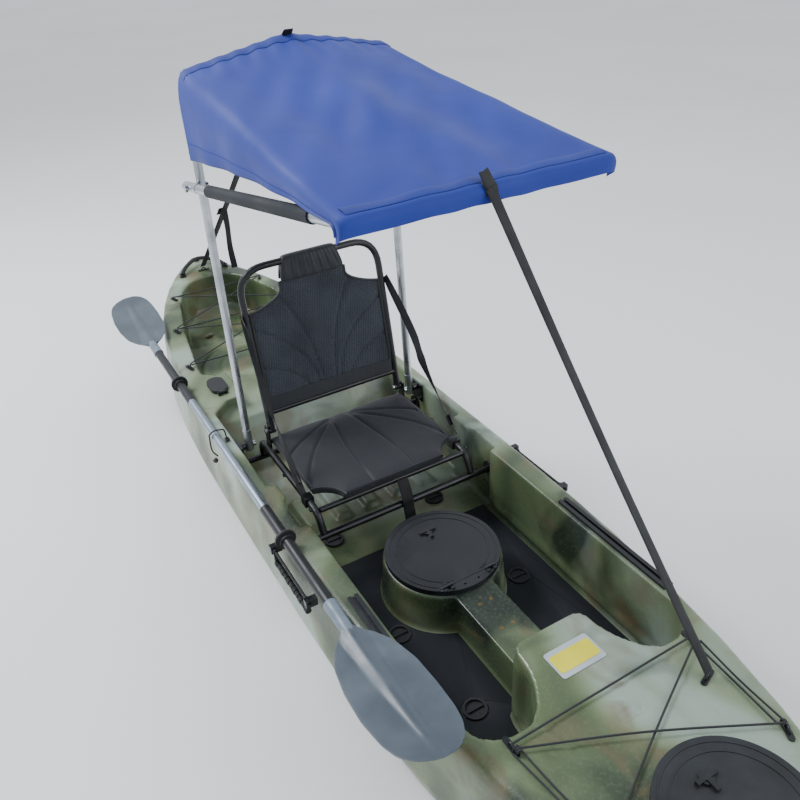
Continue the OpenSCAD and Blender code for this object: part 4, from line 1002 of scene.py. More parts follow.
def dress_node(node: str, finish: Finish) -> None:
    """Give a carried-over CAD node its finish."""
    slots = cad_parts[node].data.materials
    if not slots:
        slots.append(finish.make())
    for i in range(len(slots)):
        slots[i] = finish.make()


def dress_shafts() -> None:
    """Give each half of the shaft its silver tube and its black sleeve."""
    for node in ("paddle_shaft_near", "paddle_shaft_far"):
        dress_node(node, ANODISED_SHAFT)
        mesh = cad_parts[node].data
        mesh.materials.append(SHRINK_SLEEVE.make())
        sleeve = len(mesh.materials) - 1
        for face in mesh.polygons:
            off = abs(face.center.y - PADDLE_AXIS[1])
            out = math.hypot(face.center.x - PADDLE_AXIS[0], face.center.z - PADDLE_AXIS[2])
            if off > SILVER_HALF - 0.001 and out > SHAFT_RADIUS:
                face.material_index = sleeve


# ---------- seat ----------
def backrest_rows(flat: np.ndarray) -> np.ndarray:
    """Turn points given from the backrest's pivots, as across, out behind it and up it, into the boat's frame."""
    c, s = math.cos(BACK_LEAN), math.sin(BACK_LEAN)
    across, out, up = np.moveaxis(np.asarray(flat, float), -1, 0)
    return np.stack([across, BACK_PIVOT[1] + out * c + up * s, BACK_PIVOT[2] + up * c - out * s], -1)


@dataclass
class SeatPad:
    """The flat foam pad: a crowned ribbed knit with sewn curved channels and a bound edge.

    Attributes:
        low: Height of its underside.
        high: Height of its top before it is crowned.
        front: Its front edge.
        back: Its back edge.
        half: Half its width.
        voxel: Grid that it is remeshed on.
    """

    low: float = 0.348
    high: float = 0.374
    front: float = 0.259
    back: float = 0.645
    half: float = 0.243
    voxel: float = 0.0035

    def seams(self) -> list[list[tuple[float, float]]]:
        """Return the sewn lines: a fan of curves that start at the middle of the back edge."""
        lines = []
        for side in (-1, 1):
            for end_x, end_y, bulge in ((0.075, self.front, 0.020), (0.243, 0.345, 0.055), (0.243, 0.515, 0.040)):
                start = 0.030, self.back - 0.005
                pull = (start[0] + end_x) / 2 + bulge, (start[1] + end_y) / 2
                lines.append([(side * x, y) for x, y in bowed_line(start, pull, (end_x, end_y), 13)])
        return lines

    def outline(self) -> list[tuple[float, float]]:
        """Return the edge's corners, with the front ones cut by arcs."""
        points = [(-self.half, self.back), (-self.half, 0.338)]
        for k in range(9):
            a = math.radians(85 - 80 * k / 8)
            points.append((-0.259 + 0.090 * math.cos(a), 0.243 + 0.090 * math.sin(a)))
        points.append((-0.168, self.front))
        return points + [(-x, y) for x, y in reversed(points)]

    def build(self) -> list[bpy.types.Object]:
        """Build the pad and its binding.

        Returns:
            The new pieces.
        """
        pad = own_copy("seat_pad", "seat_pad_knit")
        modify(pad, "REMESH", mode="VOXEL", voxel_size=self.voxel)
        modify(pad, "SMOOTH", factor=0.5, iterations=9)
        points = points_of(pad)
        x, y, z = points.T
        top = np.clip((z - (self.low + self.high) / 2) / 0.008, 0, 1)
        edge = away_from_line(points[:, :2], self.outline())
        crown = 0.010 * (1 - np.exp(-edge / 0.035)) - 0.004
        drop = np.zeros(len(points))
        for line in self.seams():
            near = away_from_line(points[:, :2], line)
            drop += 0.0055 * np.exp(-(near / 0.0045) ** 2) + 0.003 * np.exp(-near / 0.016)
        sat_in = 0.005 * np.exp(-((x / 0.13) ** 2 + ((y - 0.50) / 0.12) ** 2))
        points[:, 2] += top * (crown - np.minimum(drop, 0.009) - sat_in)
        points[:, 2] = np.clip(points[:, 2], self.low, 0.3785)
        move_points(pad, points)
        modify(pad, "SMOOTH", factor=0.5, iterations=1)
        unroll(pad, lambda p: np.column_stack([p[:, 0], p[:, 1] + 0.5 * p[:, 2]]))
        smooth(pad, 75)
        dress(pad, PAD_KNIT)
        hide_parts("seat_pad")
        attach(pad, "boat")
        loop = [*self.outline(), self.outline()[0]]
        inset = np.array([(x * 0.988, 0.452 + (y - 0.452) * 0.985, 0.3690) for x, y in loop])
        binding = tube("seat_pad_binding", np.array([*inset[:-1], inset[0] + (1e-4, 0, 0)]), 0.0042, 8)
        dress(binding, COATED_NYLON)
        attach(binding, "boat")
        return [pad, binding]


@dataclass
class Backrest:
    """Spacer mesh stretched between the tubes, with curved seams, bindings and a padded headrest.

    Attributes:
        low: Lower edge, up from the pivots.
        shoulder: Height where the corner loops start.
        top: Upper edge.
        half: Half the width between the tubes.
        neck_half: Half the width at the top.
    """

    low: float = 0.073
    shoulder: float = 0.392
    top: float = 0.470
    half: float = 0.2255
    neck_half: float = 0.112
    columns: int = 84
    rows: int = 92

    def half_at(self, up: float) -> float:
        """Return half the mesh's width at a height; its upper corners are cut by hollow arcs."""
        if up <= self.shoulder:
            return self.half - 0.006 * max(0.0, 1 - (up - self.low) / 0.05)
        t = (up - self.shoulder) / (self.top - self.shoulder)
        return self.half - (self.half - self.neck_half) * math.sin(min(t * 1.35, 1.0) * math.pi / 2) ** 0.72

    def seams(self) -> list[list[tuple[float, float]]]:
        """Return the sewn lines: arcs that fan out from the bottom middle."""
        lines = []
        for side in (-1, 1):
            for start_x, end, pull in (
                (0.022, (0.130, self.shoulder + 0.045), (0.035, 0.30)),
                (0.040, (self.half, 0.340), (0.055, 0.25)),
                (0.075, (self.half, 0.210), (0.120, 0.185)),
            ):
                lines.append([(side * x, z) for x, z in bowed_line((start_x, self.low + 0.035), pull, end, 14)])
        return lines

    def sheet_point(self, share: float, up: float) -> tuple[float, float]:
        """Return a point of the mesh: across and out, with a slight belly towards the back."""
        half = self.half_at(up)
        across = share * half
        belly = 0.013 * (1 - share ** 2) * math.sin(math.pi * min(max((up - 0.05) / 0.46, 0), 1))
        return across, -0.004 + belly

    def mesh_panel(self) -> bpy.types.Object:
        """Build the padded mesh panel."""
        shares = np.linspace(-1, 1, self.columns)
        ups = np.linspace(self.low, self.top, self.rows)
        seams = self.seams()
        front, back, places = [], [], []
        for up in ups:
            row = [self.sheet_point(s, up) for s in shares]
            flat = np.array([(a, up) for a, _ in row])
            dip = np.zeros(len(row))
            for line in seams:
                near = away_from_line(flat, line)
                dip = np.maximum(dip, 0.0042 * np.exp(-(near / 0.0042) ** 2) + 0.0022 * np.exp(-near / 0.018))
            rim = np.minimum((1 - np.abs(shares)) * self.half, up - self.low)
            puff = 0.0055 * (1 - np.exp(-rim / 0.012)) + 0.0012 - dip
            front.append([(a, o - p, up) for (a, o), p in zip(row, puff)])
            back.append([(a, o + 0.0028, up) for a, o in row])
            places.append([(a, up) for a, _ in row])
        rings = [f + b[::-1] for f, b in zip(front, back)]
        uv = [p + p[::-1] + [p[0]] for p in places]
        panel = skin("backrest_mesh", backrest_rows(np.array(rings)), uv=np.array(uv))
        smooth(panel, 60)
        dress(panel, SPACER_MESH)
        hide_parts("seat_back_panel")
        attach(panel, "seat_back")
        return panel

    def bindings(self) -> list[bpy.types.Object]:
        """Build the bound edges and the band along the bottom."""
        made = []
        for side in Side:
            ups = np.concatenate([np.linspace(self.low, self.shoulder, 16),
                                  np.linspace(self.shoulder, self.top, 22)[1:]])
            line = backrest_rows(np.array([
                (side.value * (self.half_at(u) - 0.001), self.sheet_point(1, u)[1] - 0.0015, u) for u in ups]))
            edge = tube(f"backrest_binding_{side.name.lower()}", line, 0.0050, 8)
            made.append(edge)
        band = []
        for up in np.linspace(self.low - 0.004, self.low + 0.040, 7):
            row = []
            for share in np.linspace(-1, 1, 40):
                across, out = self.sheet_point(share, max(up, self.low))
                puck = 0.0009 * math.sin(share * 46) * math.sin(math.pi * (up - self.low + 0.004) / 0.044)
                row.append((across * 0.995, out - 0.0085 + puck, up))
            back = [(a, o + 0.013, u) for a, o, u in row[::-1]]
            band.append(row + back)
        cross = np.array(band)
        flat = np.concatenate([cross[:, :, [0, 2]], cross[:, :1, [0, 2]]], axis=1)
        strip = skin("backrest_lower_band", backrest_rows(cross), uv=flat)
        smooth(strip, 50)
        made.append(strip)
        for piece in made:
            dress(piece, COATED_NYLON)
            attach(piece, "seat_back")
        return made

    def headrest(self) -> bpy.types.Object:
        """Build the padded flap that folds over the top tube."""
        profile = [(-0.0080, 0.462), (-0.0165, 0.466), (-0.0180, 0.480), (-0.0182, 0.500), (-0.0178, 0.520),
                   (-0.0160, 0.536), (-0.0100, 0.5455), (0.0, 0.5478), (0.0090, 0.5455), (0.0145, 0.536),
                   (0.0158, 0.520), (0.0158, 0.498), (0.0150, 0.478), (0.0120, 0.470), (0.0095, 0.476),
                   (0.0118, 0.500), (0.0122, 0.520), (0.0112, 0.5350), (0.0, 0.5412), (-0.0112, 0.5350),
                   (-0.0125, 0.520), (-0.0120, 0.500), (-0.0095, 0.480)]
        shares = np.linspace(-1, 1, 61)
        centre = np.array([-0.001, 0.515])
        rings = []
        for share in shares:
            ease = 1 - 0.10 * abs(share) ** 9
            ring = []
            for k, (out, up) in enumerate(profile):
                half = 0.1085 - 0.020 * max(0.0, (up - 0.470) / 0.078) ** 1.3
                outer = k < 14
                fold = 0.0016 * math.sin(share * 21 + 1.2 * math.sin(up * 90)) * math.exp(-((up - 0.495) / 0.025) ** 2)
                dip = fold + 0.0012 * math.sin(share * 47 + up * 60) * math.exp(-((up - 0.515) / 0.03) ** 2)
                o = centre[0] + (out - centre[0]) * ease - (dip if outer and out < 0 else 0)
                u = centre[1] + (up - centre[1]) * (ease if outer else 1)
                ring.append((share * half, o, u))
            rings.append(ring)
        run = run_along(np.array([*profile, profile[0]]))
        uv = [[(share * 0.108, r) for r in run] for share in shares]
        flap = skin("headrest_flap", backrest_rows(np.array(rings)), uv=np.array(uv))
        modify(flap, "SUBSURF", levels=1, render_levels=1)
        smooth(flap, 70)
        dress(flap, COATED_NYLON)
        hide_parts("seat_headrest")
        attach(flap, "seat_back")
        return flap

    def build(self) -> list[bpy.types.Object]:
        """Build the backrest's cloth pieces.

        Returns:
            The new pieces.
        """
        return [self.mesh_panel(), *self.bindings(), self.headrest()]


@dataclass
class SeatStraps:
    """The two side straps that hold the backrest and the strap that holds the seat down.

    Attributes:
        width: Width of a side strap.
        wide: Width of the hold-down strap.
    """

    width: float = 0.025
    wide: float = 0.038

    def side_strap(self, side: Side) -> bpy.types.Object:
        """Build one side strap, a little slack, with its ladder-lock buckle's tail."""
        s = side.value
        top = tuple(backrest_rows((0.2545, 0.0, 0.395)))
        points = [top, (0.267, 0.585, 0.640), (0.269, 0.520, 0.541), (0.272, 0.425, 0.447), (0.274, 0.335, 0.363)]
        path = smooth_path([(s * x, y, z) for x, y, z in points], 10)
        strap = webbing(f"seat_side_strap_{side.name.lower()}", path,
                        lambda t: (s * 0.25 * math.sin(t * 5), 0.5, 0.86), self.width)
        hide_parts(f"seat_strap_{side.name.lower()}")
        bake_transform(strap)
        dress(strap, WEBBING)
        return strap

    def lock(self, side: Side) -> bpy.types.Object:
        """Build the ladder lock that rides on a side strap's lower end."""
        s = side.value
        deselect()
        bpy.ops.mesh.primitive_cube_add(size=1, location=(s * 0.2735, 0.372, 0.398))
        frame_piece = bpy.context.object
        frame_piece.scale = (0.0050, 0.030, 0.036)
        frame_piece.rotation_euler = (math.radians(-45), 0, 0)
        settle(frame_piece, f"ladder_lock_{side.name.lower()}")
        with editing(frame_piece, lambda f: abs(f.normal.x) > 0.9):
            bpy.ops.mesh.inset(thickness=0.0055, use_individual=True)
            bpy.ops.mesh.inset(thickness=0.0008, depth=-0.0012, use_individual=True)
        modify(frame_piece, "BEVEL", width=0.0012, segments=2)
        smooth(frame_piece)
        dress(frame_piece, SMOOTH_NYLON)
        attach(frame_piece, "boat")
        return frame_piece

    def hold_down(self) -> bpy.types.Object:
        """Build the strap from the front bars down to the floor."""
        points = [(0.020, 0.2535, 0.343), (0.020, 0.238, 0.315), (0.020, 0.2225, 0.281), (0.020, 0.2215, 0.257),
                  (0.020, 0.214, 0.225), (0.020, 0.209, 0.185), (0.020, 0.2075, 0.129)]
        strap = webbing("seat_hold_down_webbing", smooth_path(points, 8), (1, 0, 0), self.wide, 0.0022)
        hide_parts("seat_hold_down_strap")
        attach(strap, "boat")
        dress(strap, WEBBING)
        return strap

    def build(self) -> list[bpy.types.Object]:
        """Build the straps and their locks.

        Returns:
            The new pieces.
        """
        return [*(self.side_strap(s) for s in Side), *(self.lock(s) for s in Side), self.hold_down()]


# ---------- canopy ----------
@dataclass
class Canopy:
    """Blue canvas stretched from the main bow to the front bow, with hems, pulls and side flaps.

    Attributes:
        corner: Share across where the top turns into a side flap.
        flap_low: Height of the flaps' rear lower corners.
        thick: Thickness of the canvas.
        wrap: Radius that its front hem turns over the front bar with.
        wrap_at: Share of its length where the front hem starts to turn.
        across: Points across it.
        along: Points along it.
        cloth_step: Length of cloth between two rows of points.
    """

    corner: float = 0.80
    flap_low: float = 1.262
    thick: float = 0.0012
    wrap: float = 0.0168
    wrap_at: float = 0.955
    across: int = 150
    along: int = 120
    cloth_step: float = 0.0078

    def rear_edge(self, u: float) -> np.ndarray:
        """Return a point of the edge on the main bow."""
        s, side = abs(u), math.copysign(1, u)
        f = s / self.corner
        if f <= 1:
            height = LEG_TOP[2] + CANOPY_PEAK * (1 - f) + 0.0225
            return np.array([side * (LEG_TOP[0] + 0.012) * f, LEG_TOP[1], height])
        t = (s - self.corner) / (1 - self.corner)
        height = LEG_TOP[2] + (self.flap_low - LEG_TOP[2]) * t
        return np.array([side * (LEG_TOP[0] + 0.0195), LEG_TOP[1] - 0.003, height])

    def front_edge(self, u: float) -> np.ndarray:
        """Return a point of the edge on the front bow."""
        s, side = abs(u), math.copysign(1, u)
        f = s / self.corner
        if f <= 1:
            return np.array([side * (FRONT_CORNER[0] + 0.002) * f, FRONT_CORNER[1], FRONT_CORNER[2] + self.wrap])
        t = (s - self.corner) / (1 - self.corner)
        return np.array([side * (FRONT_CORNER[0] + 0.0225), FRONT_CORNER[1] + 0.030 * t,
                         FRONT_CORNER[2] + self.wrap - 0.020 * t])

    def rounded_edge(self, edge: Callable[[float], np.ndarray], u: float) -> np.ndarray:
        """Return a point of an edge with its corners eased."""
        width = 0.055
        shares = np.clip([u + width * k for k in (-1, -0.5, 0, 0.5, 1)], -1, 1)
        weights = (1, 3, 4, 3, 1)
        return sum(w * edge(s) for w, s in zip(weights, shares)) / sum(weights)

    def wrinkle(self, u: float, v: float) -> float:
        """Return how far the canvas stands off its smooth shape, from the pulls between its corners."""
        inside = math.sin(math.pi * min(max(v, 0), 1)) ** 0.7
        flat = max(0.0, 1 - (abs(u) / 0.85) ** 4)
        pulls = 0.0
        for slope, pitch, size, shift in (
            (0.55, 2.3, 0.0075, 0.3), (-0.35, 3.1, 0.0050, 1.4), (0.9, 4.6, 0.0032, 2.2), (1.6, 6.5, 0.0020, 0.7),
        ):
            phase = (u + slope * (v - 0.5)) * pitch * math.pi + shift
            pulls += size * math.sin(phase + 0.8 * math.sin(2.6 * v + shift))
        creases = 0.0024 * math.sin((u * 0.6 + v) * 30 + 3 * math.sin(u * 4)) * math.exp(-((v - 0.93) / 0.07) ** 2)
        creases += 0.0022 * math.sin(u * 46 + 2 * math.sin(v * 9)) * math.exp(-((v - 0.05) / 0.06) ** 2)
        return inside * flat * pulls + creases * flat

    def point(self, u: float, v: float) -> np.ndarray:
        """Return a point of the canvas."""
        a, b = self.rounded_edge(self.rear_edge, u), self.rounded_edge(self.front_edge, u)
        over = max(0.0, (v - self.wrap_at) / (1 - self.wrap_at))
        v = min(v / self.wrap_at, 1.0)
        sag = 0.026 * 4 * v * (1 - v) * (1 - abs(u)) * 0.9
        point = a + (b - a) * v
        top = max(0.0, 1 - (abs(u) / self.corner) ** 12)
        point[2] -= sag * top
        point[2] += self.wrinkle(u, v)
        if abs(u) > self.corner:
            t = (abs(u) - self.corner) / (1 - self.corner)
            hang = 4 * v * (1 - v)
            point[2] += 0.010 * hang * t
            point[0] -= math.copysign((0.012 * hang + 0.0025 * math.sin(v * 26)) * t, u)
        turn = over * math.radians(125)
        point[1] -= self.wrap * math.sin(turn)
        point[2] -= self.wrap * (1 - math.cos(turn)) + 0.010 * max(0.0, over - 0.72) / 0.28
        return point

    def canvas(self) -> bpy.types.Object:
        """Build the canvas as one curved sheet."""
        us, vs = np.linspace(-1, 1, self.across), np.linspace(0, 1, self.along)
        rows = np.array([[self.point(u, v) for u in us] for v in vs])
        places = [[(s, i * self.cloth_step) for s in run_along(rows[0])] for i in range(self.along)]
        sheet = skin("canopy_canvas", rows, closed=False, uv=np.array(places))
        normals = normals_of(sheet)
        if normals[:, 2].mean() < 0:
            with editing(sheet):
                bpy.ops.mesh.flip_normals()
        modify(sheet, "SOLIDIFY", thickness=self.thick, offset=0.0)
        smooth(sheet, 70)
        dress(sheet, CANVAS)
        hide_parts("canopy_cloth")
        return sheet

    def hem(self, name: str, v0: float, v1: float, u0: float = -0.79, u1: float = 0.79) -> bpy.types.Object:
        """Build a double-stitched hem that lies on the canvas.

        Args:
            name: The new piece's name.
            v0: Where it starts, along the canvas.
            v1: Where it ends.
            u0: Where it starts across the canvas.
            u1: Where it ends across.

        Returns:
            The new piece.
        """
        us, vs = np.linspace(u0, u1, 90), np.linspace(v0, v1, 7)
        lift = np.array([0.0006, 0.0026, 0.0020, 0.0034, 0.0020, 0.0026, 0.0006])
        if u1 - u0 < 0.5:
            us, vs = np.linspace(u0, u1, 7), np.linspace(v0, v1, 90)
        rows = []
        for i, v in enumerate(vs):
            row = []
            for j, u in enumerate(us):
                rise = lift[i] if len(vs) == 7 else lift[j]
                out = np.array([0, 0, 1.0]) if abs(u) < self.corner else np.array([math.copysign(1.0, u), 0, 0.1])
                row.append(self.point(u, v) + out * (rise + 0.0006))
            rows.append(row)
        rows = np.array(rows)
        uv = rows[:, :, :2] if abs(u0) < self.corner else rows[:, :, 1:]
        strip = skin(name, rows, closed=False, uv=uv)
        modify(strip, "SOLIDIFY", thickness=0.0014, offset=0.0)
        with editing(strip):
            bpy.ops.mesh.normals_make_consistent(inside=False)
        smooth(strip, 60)
        dress(strip, CANVAS_HEM)
        return strip

    def sleeve(self, name: str, points: Sequence[Point], radius: float) -> bpy.types.Object:
        """Build a sewn sleeve of canvas round a tube, with small puckers."""
        path = smooth_path(points, 12)
        steps = np.arange(len(path))
        piece = tube(name, path, radius + 0.0008 * np.sin(steps * 1.7) + 0.0005 * np.sin(steps * 0.6), 18)
        dress(piece, CANVAS_HEM)
        return piece

    def build(self) -> list[bpy.types.Object]:
        """Build the canvas with its hems and sleeves.

        Returns:
            The new pieces.
        """
        canvas = self.canvas()
        rear = self.hem("canopy_rear_hem", 0.004, 0.040)
        front = self.hem("canopy_front_hem", 0.925, 0.955)
        sides = [self.hem(f"canopy_flap_hem_{s.name.lower()}", 0.01, 0.99,
                          *sorted((s.value * 0.945, s.value * 0.998))) for s in Side]
        bar = FRONT_CORNER
        bar_sleeve = self.sleeve("canopy_bar_sleeve", [
            (-bar[0] + 0.066, bar[1], bar[2]), (-0.1, bar[1], bar[2]), (0.1, bar[1], bar[2]),
            (bar[0] - 0.066, bar[1], bar[2])], 0.0150)
        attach(bar_sleeve, "canopy_front")
        legs = []
        for s in Side:
            low, high = (0.2990, 0.7107, 1.285), (0.2962, 0.7124, 1.402)
            leg = self.sleeve(f"canopy_leg_sleeve_{s.name.lower()}",
                              [(s.value * x, y, z) for x, y, z in (low, ((low[0] + high[0]) / 2, 0.7116, 1.344), high)],
                              0.0150)
            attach(leg, "canopy_main")
            legs.append(leg)
        for piece in (canvas, rear, front, *sides):
            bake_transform(piece)
        return [canvas, rear, front, *sides, bar_sleeve, *legs]


@dataclass
class CanopyStraps:
    """The long straps that hold the canopy up, fore and aft.

    Attributes:
        width: Width of the webbing.
        front_foot: Where the fore strap is hooked to the deck.
        rear_foot: Where the aft strap is.
    """

    width: float = 0.030
    front_foot: Point = over_deck(0.200, -0.752, 0.0195)
    rear_foot: Point = over_deck(0.0, 2.092, 0.0195)

    def front(self) -> list[bpy.types.Object]:
        """Build the fore strap, from a loop round the front bar to an eye on the deck."""
        top = (0.0, FRONT_CORNER[1] - 0.0195, FRONT_CORNER[2])
        middle = np.array([(a + b) / 2 for a, b in zip(top, self.front_foot)]) + (0, 0.004, -0.006)
        path = smooth_path([(0, top[1] + 0.004, top[2] + 0.012), top, tuple(middle), self.front_foot], 16)
        strap = webbing("canopy_front_webbing", path, lambda t: (1, 0.3 + 0.25 * math.sin(3 * t), 0.1 * t), self.width)
        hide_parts("canopy_front_strap")
        bar = np.array((0.0, FRONT_CORNER[1], FRONT_CORNER[2]))
        turns = np.linspace(math.radians(-100), math.radians(215), 26)
        loop = webbing("canopy_front_strap_loop", np.array([bar + 0.0172 * np.array((0, -math.cos(t), math.sin(t)))
                                                            for t in turns]), (1, 0, 0), self.width)
        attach(loop, "canopy_front")
        for piece in (strap, loop):
            dress(piece, WEBBING)
        return [strap, loop]

    def rear(self) -> list[bpy.types.Object]:
        """Build the aft strap with its loose tail below the buckle."""
        foot = np.array(self.rear_foot)
        top = np.array((0.0, LEG_TOP[1] + CANOPY_TUBE + 0.006, LEG_TOP[2] + CANOPY_PEAK))
        middle = (top + foot) / 2 + (0, -0.006, -0.008)
        path = smooth_path([tuple(top + (0, 0.001, 0.006)), tuple(top + (0, 0.002, -0.012)), tuple(middle),
                            tuple(foot)], 16)
        strap = webbing("canopy_rear_webbing", path, (1, 0, 0), self.width * 0.85)
        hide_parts("canopy_rear_strap")
        lock = top + (foot - top) * 0.62
        tail_path = smooth_path([tuple(lock + (0, -0.004, -0.008)), tuple(lock + (0.002, -0.003, -0.07)),
                                 tuple(lock + (-0.002, -0.002, -0.16)), tuple(lock + (0.003, 0, -0.25))], 8)
        tail = webbing("canopy_rear_strap_tail", tail_path, lambda t: (1, 0.35 * math.sin(4 * t), 0), self.width * 0.85)
        for piece in (strap, tail):
            dress(piece, WEBBING)
        return [strap, tail]

    def build(self) -> list[bpy.types.Object]:
        """Build both straps.

        Returns:
            The new pieces.
        """
        front, loop = self.front()
        rear, tail = self.rear()
        buckle = own_copy("canopy_strap_buckle", "canopy_strap_lock")
        modify(buckle, "BEVEL", width=0.0012, segments=2, limit_method="ANGLE")
        smooth(buckle)
        dress(buckle, SMOOTH_NYLON)
        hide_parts("canopy_strap_buckle")
        for piece in (front, rear, tail, buckle):
            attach(piece, "boat")
        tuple(self.front_foot)
        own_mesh(front)
        for piece in (rear, tail, buckle):
            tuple(self.rear_foot)
            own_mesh(piece)
        return [front, loop, rear, tail, buckle]


# ---------- paddle ----------
@dataclass
class Blade:
    """One paddle blade: dished, lopsided and ribbed, with a moulded socket.

    Attributes:
        half: The half of the paddle that it ends.
        bend: Radius of its dish.
        rows: Rows of points along it.
    """

    half: Half
    bend: float = 1.900
    rows: int = 72

    def outline(self, t: float) -> tuple[float, float]:
        """Return its left and right edges, as shares of half its width, at a share of its length."""
        shares = [0, 0.03, 0.10, 0.22, 0.40, 0.60, 0.78, 0.88, 0.95, 0.985, 1.0]
        right = [0.14, 0.22, 0.52, 0.82, 0.985, 1.0, 0.95, 0.86, 0.70, 0.52, 0.34]
        left = [0.14, 0.22, 0.55, 0.83, 0.965, 1.0, 0.92, 0.78, 0.50, 0.22, -0.02]
        return -float(np.interp(t, shares, left)), float(np.interp(t, shares, right))

    def eased(self, t: float) -> tuple[float, float]:
        """Return the edges with the outline's corners eased."""
        spread = 0.028 * min(1.0, 8 * (1 - t) + 0.1) * min(1.0, 12 * t + 0.1)
        pairs = [self.outline(min(max(t + spread * k, 0), 1)) for k in (-1, -0.5, 0, 0.5, 1)]
        weights = (1, 2, 3, 2, 1)
        return tuple(sum(w * p[i] for w, p in zip(weights, pairs)) / 9 for i in (0, 1))

    def placed(self, points: np.ndarray) -> np.ndarray:
        """Turn points given as across, along and up on a half paddle into the boat's frame."""
        out = np.array(points, float)
        out[..., 1] *= self.half.value
        return out + np.array(PADDLE_AXIS)

    def dish(self, along: float) -> float:
        """Return the height of the blade's middle plane."""
        return self.bend - 0.002 - math.sqrt(self.bend ** 2 - (along - SOCKET_HALF) ** 2) + 0.0015

    def spoon(self) -> bpy.types.Object:
        """Build the flat part with its rib and its thick edge."""
        w = BLADE_WIDTH / 2
        rings = []
        for t in np.linspace(0, 1, self.rows) ** 0.94:
            along = SOCKET_HALF - 0.008 + t * (PADDLE_HALF - SOCKET_HALF + 0.008)
            left, right = self.eased(t)
            top, low = [], []
            for s in np.linspace(-1, 1, 33):
                x = w * (left + (right - left) * (s + 1) / 2)
                edge = (1 - abs(s)) * w * (right - left) / 2
                rib = 0.0115 * (1 - t) ** 0.8 * math.exp(-(x / (0.010 + 0.010 * (1 - t))) ** 2)
                groove = 0.0012 * math.exp(-((abs(x) - 0.030 * (1 - t) - 0.008) / 0.004) ** 2) * (t < 0.85)
                swell = 0.0006 * (1 - min(edge / 0.006, 1.0)) if 0 < edge else 0
                z = self.dish(along) + 0.0035 * (x / w) ** 2
                thick = 0.0016 + 0.0014 * min(edge / 0.03, 1) * (1 - 0.6 * t)
                top.append((x, along, z + thick + rib - groove + swell))
                low.append((x, along, z - thick - rib * 0.6 - swell))
            rings.append(top + low[::-1])
        blade = skin(f"blade_{self.half.name.lower()}", self.placed(np.array(rings)))
        modify(blade, "BEVEL", width=0.0008, segments=2, limit_method="ANGLE", angle_limit=math.radians(50))
        smooth(blade, 45)
        dress(blade, BLADE)
        return blade

    def socket(self) -> bpy.types.Object:
        """Build the pale socket that takes the shaft."""
        stations = [(SLEEVE_HALF - 0.0005, 0.0152), (SLEEVE_HALF - 0.0005, 0.0178), (SLEEVE_HALF + 0.004, 0.0186),
                    (SLEEVE_HALF + 0.012, 0.0184), (SLEEVE_HALF + 0.020, 0.0176), (SLEEVE_HALF + 0.060, 0.0170),
                    (SLEEVE_HALF + 0.095, 0.0160), (SLEEVE_HALF + 0.130, 0.0132), (SLEEVE_HALF + 0.180, 0.0100),
                    (SLEEVE_HALF + 0.250, 0.0066), (SLEEVE_HALF + 0.330, 0.0034)]
        rings = []
        for along, radius in stations:
            past = max(0.0, (along - SLEEVE_HALF - 0.060) / 0.27)
            lift = self.dish(max(along, SOCKET_HALF)) * min(1.0, past * 2) + 0.0010 * past
            flat = 1 - 0.35 * min(past * 2, 1)
            rings.append([(radius * (1 + 0.5 * min(past, 0.4)) * math.cos(a), along, lift + radius * flat * math.sin(a))
                          for a in np.linspace(0, 2 * math.pi, 32, endpoint=False)])
        piece = skin(f"blade_socket_{self.half.name.lower()}", self.placed(np.array(rings)))
        modify(piece, "SUBSURF", levels=1, render_levels=1)
        smooth(piece, 50)
        dress(piece, SOCKET)
        return piece

    def build(self) -> list[bpy.types.Object]:
        """Build the blade and its socket.

        Returns:
            The new pieces.
        """
        side = self.half.name.lower()
        spoon, socket = self.spoon(), self.socket()
        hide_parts(f"paddle_blade_{side}")
        for piece in (spoon, socket):
            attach(piece, f"paddle_{side}")
        return [spoon, socket]


@dataclass
class Blades:
    """Both ends of the paddle."""

    def build(self) -> list[bpy.types.Object]:
        """Build both blades.

        Returns:
            The new pieces.
        """
        return [piece for half in Half for piece in Blade(half).build()]


